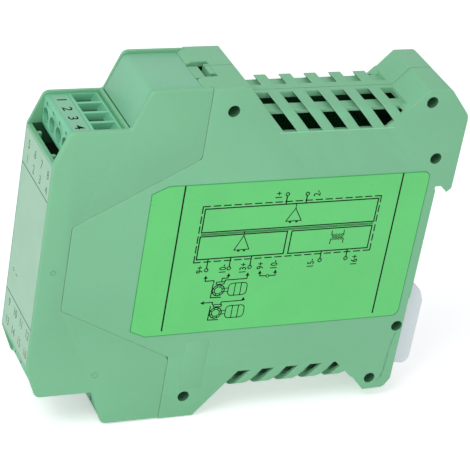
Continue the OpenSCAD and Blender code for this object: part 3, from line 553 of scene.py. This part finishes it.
def number(text, middle, height, turned=0, narrow=0.82, bold=0.0):
    bpy.ops.object.text_add(location=(0, 0, 0))
    words = bpy.context.object
    words.data.body = text
    words.data.align_x, words.data.align_y = "CENTER", "CENTER"
    words.data.size = height / CAPITAL_SHARE
    words.data.offset = bold
    words.data.resolution_u = 4
    bpy.ops.object.convert(target="MESH")
    words = bpy.context.object
    words.scale = (narrow, 1, 1)
    placed(words)
    words.rotation_euler = (0, 0, math.radians(turned))
    words.location = (*middle, 0)
    return placed(words)


def printed(parts, name, matrix, thickness):
    # Flat print drawn in millimetres, given a thickness and laid on its face
    sheet = joined(parts, name)
    only(sheet)
    bpy.ops.object.mode_set(mode="EDIT")
    bpy.ops.mesh.select_all(action="SELECT")
    bpy.ops.mesh.remove_doubles(threshold=1e-4)
    bpy.ops.mesh.normals_make_consistent(inside=False)
    bpy.ops.mesh.select_all(action="DESELECT")
    mesh = bmesh.from_edit_mesh(sheet.data)
    for face in mesh.faces:
        if face.normal.z < 0:
            face.normal_flip()
        face.select_set(True)
    bmesh.update_edit_mesh(sheet.data)
    bpy.ops.mesh.extrude_region_move(TRANSFORM_OT_translate={"value": (0, 0, thickness)})
    bpy.ops.mesh.select_all(action="SELECT")
    bpy.ops.mesh.normals_make_consistent(inside=False)
    bpy.ops.object.mode_set(mode="OBJECT")
    sheet.matrix_world = matrix @ Matrix.Scale(MM, 4)
    return placed(sheet)


# Turns a flat drawing (right, up) onto the side, the front, the top and the bottom
ON_SIDE = Matrix(((0, 0, 1), (1, 0, 0), (0, 1, 0))).to_4x4()
ON_FRONT = Matrix(((1, 0, 0), (0, 0, -1), (0, 1, 0))).to_4x4()
ON_TOP = Matrix.Identity(4)
ON_BOTTOM = Matrix(((1, 0, 0), (0, -1, 0), (0, 0, -1))).to_4x4()


def at(x_mm, d_mm, z_mm, turn):
    return Matrix.Translation((x_mm * MM, (d_mm - RAIL) * MM, z_mm * MM)) @ turn


def bulb_symbol(middle):
    # A round socket on a square plate beside a rounded lamp of three bars
    x, y = middle
    parts = path([(x - 1.75, y + 2.2), (x - 1.9, y - 2.1), (x + 1, y - 2.2)], 0.3)
    parts += [ring((x, y), 1.8, 0.3), ring((x, y), 1.2, 0.24)]
    for k in range(8):
        a = math.radians(45 * k + 22)
        out = Vector((math.cos(a), math.sin(a)))
        parts.append(stroke(Vector(middle) + out * 1.2, Vector(middle) + out * 1.7, 0.22))
    parts.append(rounded_box((x + 5.4, y), (5.5, 4), 1.2, 0.24))
    parts += [stroke((x + bar, y - 2), (x + bar, y + 1.95), 0.24) for bar in (4.6, 6.3)]
    parts += [stroke((x + 1.75, y + lead), (x + 2.8, y + lead), 0.2) for lead in (0.5, -0.5)]
    parts += frame_of((x - 0.9, y + 1.9), (x + 1.3, y + 2.6), 0.24)
    return parts


def transformer_symbol():
    # Two rows of loops with leads at their ends, and the core's two lines between them
    parts = [stroke((79.3, 4.8), (79.2, 6.15), 0.24), stroke((82.8, 4.75), (82.7, 6.15), 0.24),
             stroke((79.25, 3.7), (79.15, 2.2), 0.24), stroke((82.9, 3.6), (82.9, 2.3), 0.24),
             stroke((79.5, 4.4), (82.7, 4.35), 0.16), stroke((79.5, 4.05), (82.7, 4.0), 0.16)]
    for k in range(4):
        x = 79.8 + 0.85 * k
        parts += [ring((x, 4.85), 0.34, 0.16, 14), ring((x, 3.6), 0.34, 0.16, 14)]
    return parts


# The scheme on the sticker, as (depth, height) on the drawing
SCHEME_RULES = (35.5, 96.6)
SCHEME_BOXES = (((41.97, 8.27), (90.8, 15.25)), ((41.85, 0.2), (66.2, 7.05)), ((67.5, 0.13), (90.6, 6.98)))
SCHEME_DASHED = (((41.3, 16.03), (91.5, 16.03)), ((41.2, -0.65), (91.45, -0.65)),
                 ((41.25, -0.65), (41.25, 16.03)), ((91.48, -0.65), (91.48, 16.03)))
AMPLIFIERS = (((67.3, 13.82), (65.1, 10.06), (69.5, 10.06)), ((54, 6.62), (51.9, 2.36), (56.1, 2.36)))
UPPER_LEADS = ((64.2, 15.3, 17.75), (69.85, 15.3, 17.55))
LOWER_LEADS = ((45.15, -3.2), (51.45, -3.13), (57.3, -3.2), (77.25, -2.7), (84.8, -2.7))
SCHEME_NUMBERS = (("1+", 61.9, 18.05), ("2-", 72.7, 17.95), ("9+", 43.4, -2.9), ("10-", 49.85, -3.25),
                  ("13+", 55.55, -3.4), ("9+", 60.4, -3.0), ("10-", 64.3, -3.1), ("15-", 74.9, -3.5),
                  ("16+", 87.6, -3.5))
SCHEME_WIRES = ([(45.4, -5.7), (45.4, -6.6), (47.9, -6.6), (47.9, -7.2)],
                [(51.75, -5.5), (51.75, -6.1), (50.1, -6.1), (50.1, -7.2)],
                [(57.15, -5.7), (57.15, -6.7), (51.1, -6.7), (51.1, -7.2)],
                [(60.6, -5.3), (60.7, -6.2), (62.4, -6.3)],
                [(65.0, -5.4), (65.1, -6.35), (63.5, -6.35)],
                [(46.2, -13.35), (48.55, -13.35), (48.75, -14.2)],
                [(57.3, -13.45), (51.1, -13.45), (50.95, -14.3)])
SCHEME_ARROWS = (((45.4, -5.1), (0, 1)), ((51.75, -4.9), (0, 1)), ((57.15, -5.1), (0, 1)),
                 ((60.55, -4.8), (0, 1)), ((64.95, -4.9), (0, 1)), ((45.4, -13.35), (-1, 0)),
                 ((57.2, -12.7), (0, 1)))
SENSORS = ((49.6, -9.75), (49.95, -16.75))
LINE, FINE_LINE, HAIR_LINE = 0.34, 0.24, 0.16


def side_print():
    parts = [stroke((rule, -21), (rule, 22.4), 0.42) for rule in SCHEME_RULES]
    for low, high in SCHEME_BOXES:
        parts += frame_of(low, high, LINE)
    for a, b in SCHEME_DASHED:
        parts += dashed(a, b, 0.32, dash=1.9, gap=0.95)
    parts += [stroke((42, 7.8), (90.7, 7.78), HAIR_LINE), stroke((42, 7.5), (90.7, 7.46), HAIR_LINE)]
    for apex, left, right in AMPLIFIERS:
        parts += path([apex, left, right], FINE_LINE, True)
        parts += [stroke(apex, (apex[0], apex[1] + 1.2), FINE_LINE),
                  stroke((left[0] + 1.1, left[1] - 0.35), (left[0] + 1.5, left[1] - 0.35), 0.4),
                  stroke((right[0] - 1.5, right[1] - 0.35), (right[0] - 1.1, right[1] - 0.35), 0.4)]
    parts += transformer_symbol()
    for x, low, high in UPPER_LEADS:
        parts += [stroke((x, low), (x, high), LINE), ring((x, high + 0.45), 0.6, 0.28, 20)]
    for x, y in LOWER_LEADS:
        parts += [stroke((x, 0.1), (x, y + 0.5), 0.32), ring((x, y), 0.62, 0.28, 20)]
    for text, x, y in SCHEME_NUMBERS:
        parts.append(number(text, (x, y), 1.85, turned=90, bold=0.03))
    for points in SCHEME_WIRES:
        parts += path(points, 0.28)
    parts.append(ring((62.95, -6.4), 0.5, 0.2, 16))
    for tip, way in SCHEME_ARROWS:
        parts.append(arrow(tip, way, 0.66))
    for middle in SENSORS:
        parts += bulb_symbol(middle)
    return printed(parts, "side_print", at(LABEL_FACE, 0, 0, ON_SIDE), 0.02)


def sticker_edge_shade():
    # A line of painted shade round the sticker's edge, with its two cut corners and two round ones
    turn = [math.radians(a) for a in range(90, -1, -15)]
    corner = [(102.6 + 1.9 * math.cos(a), 20.6 + 1.9 * math.sin(a)) for a in turn]
    top = [(26.8, 20.45), (31.1, 22.5)] + corner
    outline = top + [(d, -z) for d, z in reversed(top)]
    return printed(path(outline, 0.2, True), "sticker_edge_shade", at(LABEL_FACE, 0, 0, ON_SIDE), 0.015)


# The rows of terminal numbers on the front film with their heights, and the two that are printed in red
FRONT_ROWS = ((("5", "6", "7", "8"), 25.8), (("1", "2", "3", "4"), 21.6),
              (("9", "10", "11", "12"), -20.9), (("13", "14", "15", "16"), -26.5))
RED_NUMBERS = ("15", "16")


def front_print():
    parts = [stroke((-10.2, 19.3), (10.2, 19.3), 0.3), stroke((-10.2, -18.1), (10.2, -18.1), 0.3)]
    red = []
    for row, z in FRONT_ROWS:
        for k, text in enumerate(row):
            digits = number(text, (-6.9 + 5.1 * k, z), 2.4, narrow=0.8, bold=-0.006)
            (red if text in RED_NUMBERS else parts).append(digits)
    parts += [ring((-7.0, -10.7), 0.5, 0.16, 20), stroke((-4.9, -10.9), (-3.9, -10.9), 0.3)]
    return [printed(some, name, at(0, FILM_FACE, 0, ON_FRONT), 0.02)
            for some, name in ((parts, "front_print"), (red, "front_print_red"))]


def marker_print(texts, name, d_mm, z_mm):
    wide = 0.8 if len(texts[0]) > 1 else 1.15
    parts = [number(text, ((k - 1.5) * 4.65, 0), 2.55, narrow=wide, bold=0.02)
             for k, text in enumerate(texts)]
    return printed(parts, name, at(0, d_mm - 0.25, z_mm, ON_TOP if z_mm > 0 else ON_BOTTOM), 0.03)


set_camera()
set_light()
set_floor()

BODY_GREEN = tone(126, 193, 149)
housing_plastic = moulded_plastic("housing_plastic", BODY_GREEN)
plug_plastic = moulded_plastic("plug_plastic", tone(122, 204, 162), 0.2, 0.22, 0.004, 0.38, 0.12)
cover_plastic = moulded_plastic("cover_plastic", tone(132, 198, 160))
latch_plastic = moulded_plastic("latch_plastic", tone(232, 238, 243), 0.3, 0.25, 0.004, 0.4, 0.1)
header_plastic = moulded_plastic("header_plastic", tone(22, 34, 28), 0.15, 0.25, 0.005, 0.45, 0.1)
side_film = printed_film("side_film", tone(100, 213, 118))
front_film = printed_film("front_film", tone(158, 203, 172), 0.4)
marker_film = printed_film("marker_film", tone(134, 199, 163), 0.42)
ink = print_ink("black_ink", tone(6, 20, 10))
grey_ink = print_ink("grey_ink", tone(96, 118, 104))
red_ink = print_ink("red_ink", tone(166, 116, 100))
# Painted shade for the line round the sticker's edge
edge_shade_ink = print_ink("edge_shade_green", tone(74, 158, 98))
# A pale colour for a painted highlight along a rounded edge
painted_highlight = print_ink("painted_highlight", tone(154, 222, 178))
zinc = plated_metal("zinc_plating", tone(196, 200, 204), tone(120, 124, 130), 0.28, (1, 6, 1))
clamp_steel = plated_metal("clamp_steel", tone(170, 176, 186), tone(100, 104, 112), 0.34)
brass = plated_metal("tinned_brass", tone(212, 186, 120), tone(150, 120, 60), 0.3)
spring_steel = plated_metal("spring_steel", tone(190, 192, 196), tone(90, 92, 98), 0.26, (6, 6, 1))

FINISHES = {
    "front_cap": housing_plastic, "rear_shell_right": housing_plastic, "rear_shell_left": housing_plastic,
    "filler_cover": cover_plastic, "front_label": front_film, "side_label": side_film,
    "rail_latch": latch_plastic, "latch_spring": spring_steel,
    "circuit_board": board_finish(), "power_lamp": lamp_finish(),
    "transformer_core": packaged("ferrite", tone(52, 54, 58), 0.5, tone(74, 76, 80), 0.4),
    "transformer_winding": packaged("winding_tape", tone(196, 140, 84), 0.42, tone(214, 166, 108), 0.8),
    "electrolytic_capacitors": packaged("capacitor_sleeve", tone(18, 20, 36), 0.42, tone(28, 30, 48), 0.9),
    "film_capacitor": packaged("capacitor_case", tone(168, 44, 40), 0.36, tone(186, 66, 58), 0.8),
    "amplifier_chips": packaged("chip_epoxy", tone(40, 41, 43), 0.55, tone(60, 61, 63), 0.3),
    "optocouplers": packaged("coupler_case", tone(226, 224, 214), 0.45, tone(206, 204, 194), 0.5),
    "trimmers": packaged("trimmer_case", tone(48, 90, 176), 0.4, tone(70, 112, 192), 0.6),
}
KIND_FINISHES = {"header": header_plastic, "pins": brass, "plug": plug_plastic, "marker": marker_film,
                 "contacts": brass, "screw": zinc, "clamp": clamp_steel}
for name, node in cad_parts.items():
    kind = name.split("_")[0]
    finish = FINISHES.get(name) or KIND_FINISHES[kind]
    node.data.materials.clear()
    node.data.materials.append(finish)

# Places on the housing, in the same millimetres
PIN_PLACES = ((45.1, 43), (45.1, -43), (100.4, 43), (100.4, -43), (105.2, 26.25), (105.2, -26.25))
DECK_Z, CORNER_ROUND, CORNER_X, CORNER_SLACK = 42.1, 3.2, 8.05, 0.05
DECK_INNER = DECK_Z - 1.68
PIN_HOLE_REACH = 2.2
PIN_END = HALF_W - 3.2
PIN_DRAWN_BACK = 4
CAP_START, CAP_END, CAP_HIGH, CAP_SLACK = 6, 38.7, 31, 0.3
CAP_WALL, CAP_RIM = (9.5, 10.6), 30.3
JOINT_X, JOINT_SLACK = -1, 0.35
FOOT_SLOPE = (93.2, 99.4)

# The last slot of each deck half, in depth, and how far it goes across and through the deck
SLOT_START, SLOT_END = 92, 94
SLOT_INNER = {"right": 0.6, "left": 3.4}
SLOT_OUTER, CORNER_INNER, CORNER_OUTER = 4.6, 4.5, 8
SLOT_LOW, CORNER_LOW, SLOT_HIGH = 39.9, 41, 42.6

# The box that blunts the inner face of the hook, and its lean in degrees
HOOK_CUT = (-12, 108 - RAIL, 15.5), (12, 111.3 - RAIL, 16.7)
HOOK_LEAN = -49.2

# Edges are rounded by these radii: the cap's outline, the shells' outlines and the seams between them
CAP_ROUND, SHELL_ROUND, SEAM_ROUND = 0.55, 0.3, 0.12


def on_side_face(p):
    return abs(p.x) > HALF_W - NEAR


def near_pin(p):
    return any(math.hypot(p.y + RAIL - d, p.z - z) < PIN_HOLE_REACH for d, z in PIN_PLACES)


def side_edge(a, b, normals):
    sideways = any(abs(n.x) > SIDEWAYS for n in normals)
    return on_side_face(a) and on_side_face(b) and sideways and not (near_pin(a) and near_pin(b))


def on_seam(a, b):
    # The joint between the cap and the shells, as seen on the sides
    depth, high = (a.y + b.y) / 2 + RAIL, abs(a.z + b.z) / 2
    return CAP_START < depth < CAP_END + CAP_SLACK and (high < CAP_HIGH or depth > CAP_END - CAP_SLACK)


def on_deck(p):
    if abs(p.x) > CORNER_X and abs(p.z) > DECK_Z - CORNER_ROUND - CORNER_SLACK:
        reach = math.hypot(abs(p.x) - CORNER_X, abs(p.z) - DECK_Z + CORNER_ROUND)
        return abs(reach - CORNER_ROUND) < CORNER_SLACK
    return abs(abs(p.z) - DECK_Z) < NEAR


def shell_edge(a, b, normals):
    outside = all(on_deck(p) or on_side_face(p) for p in (a, b))
    return side_edge(a, b, normals) or (outside and not (near_pin(a) and near_pin(b)))


def deepen_pin_holes(shell):
    # Draws the ends of the joining pins back, so that their holes look as deep as they are
    only(shell)
    bpy.ops.object.mode_set(mode="EDIT")
    bpy.ops.mesh.select_mode(type="VERT")
    bpy.ops.mesh.select_all(action="DESELECT")
    mesh = bmesh.from_edit_mesh(shell.data)
    for vert in mesh.verts:
        vert.select_set(abs(vert.co.x / MM - PIN_END) < NEAR and near_pin(vert.co / MM))
    mesh.select_flush_mode()
    bmesh.update_edit_mesh(shell.data)
    bpy.ops.transform.translate(value=(-PIN_DRAWN_BACK * MM, 0, 0))
    bpy.ops.object.mode_set(mode="OBJECT")


def outline_edge(a, b, normals):
    return side_edge(a, b, normals) and not on_seam(a, b)


def seam_edge(a, b, normals):
    return side_edge(a, b, normals) and on_seam(a, b)


def in_cap_wall(p):
    return CAP_WALL[0] < abs(p.x) < CAP_WALL[1]


def split_inner_walls(cap, high_mm):
    # Cuts the inner faces of the cap's sides level with the rim, so that painted shade can go on the pocket
    # below
    only(cap)
    bpy.ops.object.mode_set(mode="EDIT")
    bpy.ops.mesh.select_mode(type="FACE")
    for up in (1, -1):
        bpy.ops.mesh.select_all(action="DESELECT")
        mesh = bmesh.from_edit_mesh(cap.data)
        for face in mesh.faces:
            face.select_set(abs(face.normal.x) > SIDEWAYS and in_cap_wall(face.calc_center_median() / MM))
        bmesh.update_edit_mesh(cap.data)
        bpy.ops.mesh.bisect(plane_co=(0, 0, up * high_mm * MM), plane_no=(0, 0, 1))
    bpy.ops.object.mode_set(mode="OBJECT")
    return cap


def shade_behind_slots(p, n):
    # Painted shade on the walls behind the slots, but not on the floor that shows through the lower ones
    return abs(p.x) < 10.3 and -38 < p.z < DECK_INNER and p.y + RAIL < 100


def shade_in_joint(p, n):
    # Painted shade in the joint between the two shells, along the decks
    depth = p.y + RAIL
    on_line = abs(p.x - JOINT_X) < JOINT_SLACK and abs(p.z) > DECK_INNER and abs(n.x) > 0.2
    return on_line and not FOOT_SLOPE[0] < depth < FOOT_SLOPE[1]


def cut_away(piece, low, high, turned=0):
    # Takes a box, given by two corners in millimetres and turned about its middle, out of the piece
    middle = [(a + b) / 2 * MM for a, b in zip(low, high)]
    bpy.ops.object.select_all(action="DESELECT")
    bpy.ops.mesh.primitive_cube_add(size=1, location=middle)
    box = bpy.context.object
    box.scale = [abs(b - a) * MM for a, b in zip(low, high)]
    box.rotation_euler = (math.radians(turned), 0, 0)
    placed(box)
    only(piece)
    cut = piece.modifiers.new("cut", "BOOLEAN")
    cut.operation, cut.object, cut.solver = "DIFFERENCE", box, "EXACT"
    bpy.ops.object.modifier_apply(modifier="cut")
    bpy.data.objects.remove(box)
    return piece


def make_housing():
    cap = fillet(copy_of("front_cap", "front_cap_moulding"), CAP_ROUND, outline_edge)
    cap = split_inner_walls(fillet(cap, SEAM_ROUND, seam_edge, 2), CAP_RIM)
    # Painted shade on the inner faces of the cap's sides below the rim
    paint_shade(cap, 0.9, lambda p, n: abs(n.x) > 0.9 and in_cap_wall(p) and abs(p.z) < CAP_RIM + 0.05)
    smooth(cap)
    finished(cap, housing_plastic, "housing", "housing_green", "front_cap")
    for side, outer in (("right", 1), ("left", -1)):
        shell = copy_of(f"rear_shell_{side}", f"rear_shell_{side}_moulding")
        start, end = SLOT_START - RAIL, SLOT_END - RAIL
        for up in (1, -1):
            # The last slot goes square through the deck, beside its corner strip and over it
            for inner_x, outer_x, low in ((SLOT_INNER[side], SLOT_OUTER, SLOT_LOW),
                                          (CORNER_INNER, CORNER_OUTER, CORNER_LOW)):
                cut_away(shell, (outer * inner_x, start, up * low), (outer * outer_x, end, up * SLOT_HIGH))
        # The inner face of the hook leans back a little more than the solid's, and its tip is blunter
        cut_away(shell, *HOOK_CUT, HOOK_LEAN)
        if side == "left":
            deepen_pin_holes(shell)
        shell = fillet(shell, SHELL_ROUND, lambda a, b, n: shell_edge(a, b, n) and not seam_edge(a, b, n))
        shell = smooth(fillet(shell, SEAM_ROUND, seam_edge, 2))
        # Painted shade on the walls behind the slots
        paint_shade(shell, 0.95, shade_behind_slots)
        # Painted shade in the joint between the shells
        paint_shade(shell, 0.5, shade_in_joint)
        # Painted shade in the holes of the joining pins
        paint_shade(shell, 0.68, lambda p, n: near_pin(p) and 1 < abs(p.x) < HALF_W - 0.4)
        finished(shell, housing_plastic, "housing", "housing_green", f"rear_shell_{side}")


PANEL_PLACE = (HALF_W - 0.72, 46.4 - RAIL, -32.9)
PANEL_SIZE = (1.56, 6.4, 15)
PANEL_ROUND = 0.045
REAR_RIM = [(105.3, -28.6), (104.75, -31.5), (104.35, -36), (104.3, -40), (103.9, -42.6), (102.8, -44.3)]
DECK_RIM = (58.8, 36.2), (90.8, 36.2)


def make_side_marks():
    # Faint marks of the mould on the side that faces the viewer: a panel, a rim line and two gate marks, and
    # a painted highlight along the deck's rim
    bpy.ops.object.select_all(action="DESELECT")
    bpy.ops.mesh.primitive_cube_add(size=1, location=[v * MM for v in PANEL_PLACE])
    panel = bpy.context.object
    panel.scale = [v * MM for v in PANEL_SIZE]
    placed(panel)
    bpy.ops.object.mode_set(mode="EDIT")
    bpy.ops.mesh.select_all(action="SELECT")
    bpy.ops.mesh.bevel(offset=PANEL_ROUND * MM, segments=2, affect="EDGES")
    bpy.ops.object.mode_set(mode="OBJECT")
    finished(joined([smooth(panel)], "side_panel"), housing_plastic, "housing")
    on_side = at(HALF_W - 0.01, 0, 0, ON_SIDE)
    # A painted highlight: a pale strip along the rounded rim below the deck's slots
    finished(printed([stroke(*DECK_RIM, 0.22)], "deck_rim_highlight", on_side, 0.03), painted_highlight, "housing")
    parts = path(REAR_RIM, 0.28) + [ring((3.6, -0.7), 0.75, 0.22, 20), ring((18.85, -33.3), 0.9, 0.13, 20)]
    finished(printed(parts, "mould_marks", on_side, 0.07), housing_plastic, "housing")


# Each plug: the places of its upper front corner, how they move with its tier, its size and its step
PLUG_FACE, TIER_DEPTH = 3.5, 19
PLUG_SEAT, TIER_HEIGHT = 24.5, 10.5
PLUG_SIDE, PLUG_DEEP, PLUG_HIGH = 10, 14.2, 13.7
STEP_HIGH, STEP_DEEP = 6, 5


def make_plugs():
    # Each plug, set back below its face, with the edges of the mouldings and of the wire funnels softened
    for key, tier, side in (("1_4", 0, 1), ("9_12", 0, -1), ("13_16", 1, -1)):
        face = PLUG_FACE + TIER_DEPTH * tier - RAIL
        seat = PLUG_SEAT + TIER_HEIGHT * tier

        def plug_edge(a, b, normals):
            def outer(p):
                depth, high = p.y - face, p.z * side - seat
                return (abs(p.x) > PLUG_SIDE - NEAR or depth < NEAR or depth > PLUG_DEEP - NEAR or high < NEAR
                        or high > PLUG_HIGH - NEAR or (high < STEP_HIGH + NEAR and depth < STEP_DEEP + NEAR))
            return outer(a) and outer(b)

        plug = copy_of(f"plug_{key}", f"plug_moulding_{key}")
        # The lower front is set back further than the solid's
        cut_away(plug, (-12, face - 1, side * (seat - 1)), (12, face + STEP_DEEP, side * (seat + STEP_HIGH)))
        smooth(fillet(plug, 0.17, plug_edge, 2))

        def inside(p, n):
            depth, high = p.y - face, p.z * side - seat
            within = 0.3 < depth < PLUG_DEEP - 0.2 and 0.3 < high < PLUG_HIGH - 0.3
            return within and abs(p.x) < PLUG_SIDE - 0.1

        # Painted shade on the faces inside the plug, such as its wire funnels
        paint_shade(plug, 0.3, inside)
        finished(plug, plug_plastic, f"plug_{key}", "plug_green", f"plug_{key}")


def make_cover_and_latch():
    def cover_edge(a, b, normals):
        return abs(a.x) > 9.98 and abs(b.x) > 9.98 and min(a.z, b.z) > 36.6

    def latch_edge(a, b, normals):
        return abs(a.x) > 6.98 and abs(b.x) > 6.98

    cover = smooth(fillet(copy_of("filler_cover", "filler_moulding"), 0.3, cover_edge))
    finished(cover, cover_plastic, "housing", "housing_green", "filler_cover")
    latch = smooth(fillet(copy_of("rail_latch", "latch_moulding"), 0.5, latch_edge, 4))
    finished(latch, latch_plastic, "rail_latch", "latch_grey", "rail_latch")


def make_spring():
    # The coil below the latch, which the latch presses flatter as it slides down; here it keeps its shape, in
    # a mesh of its own
    coil = smooth(copy_of("latch_spring", "latch_spring_coil"))
    finished(coil, spring_steel, "housing", "spring_steel", "latch_spring")
    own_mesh(coil)


PRINT_ROOM = 0.04


def make_labels():
    sticker = copy_of("side_label", "side_sticker_sheet")
    sticker = thinned(sticker, lambda p: p.x > HALF_W + 0.1, (-PRINT_ROOM, 0, 0))
    finished(smooth(sticker), side_film, "housing", "side_sticker", "side_label")
    film = thinned(copy_of("front_label", "front_film_sheet"), lambda p: p.y < -RAIL, (0, PRINT_ROOM, 0))
    finished(smooth(film), front_film, "housing", "front_film", "front_label")
    finished(side_print(), ink, "housing")
    for print_piece, print_colour in zip(front_print(), (grey_ink, red_ink)):
        finished(print_piece, print_colour, "housing")
    finished(sticker_edge_shade(), edge_shade_ink, "housing")


make_housing()
make_plugs()
make_cover_and_latch()
make_spring()
make_side_marks()
make_labels()
MARKERS = ((("1", "2", "3", "4"), "1_4", 7.05, 38.1), (("9", "10", "11", "12"), "9_12", 7.05, -38.1),
           (("13", "14", "15", "16"), "13_16", 26.05, -48.6))
for texts, key, d_mm, z_mm in MARKERS:
    finished(marker_print(texts, f"marker_print_{key}", d_mm, z_mm), ink, f"plug_{key}")
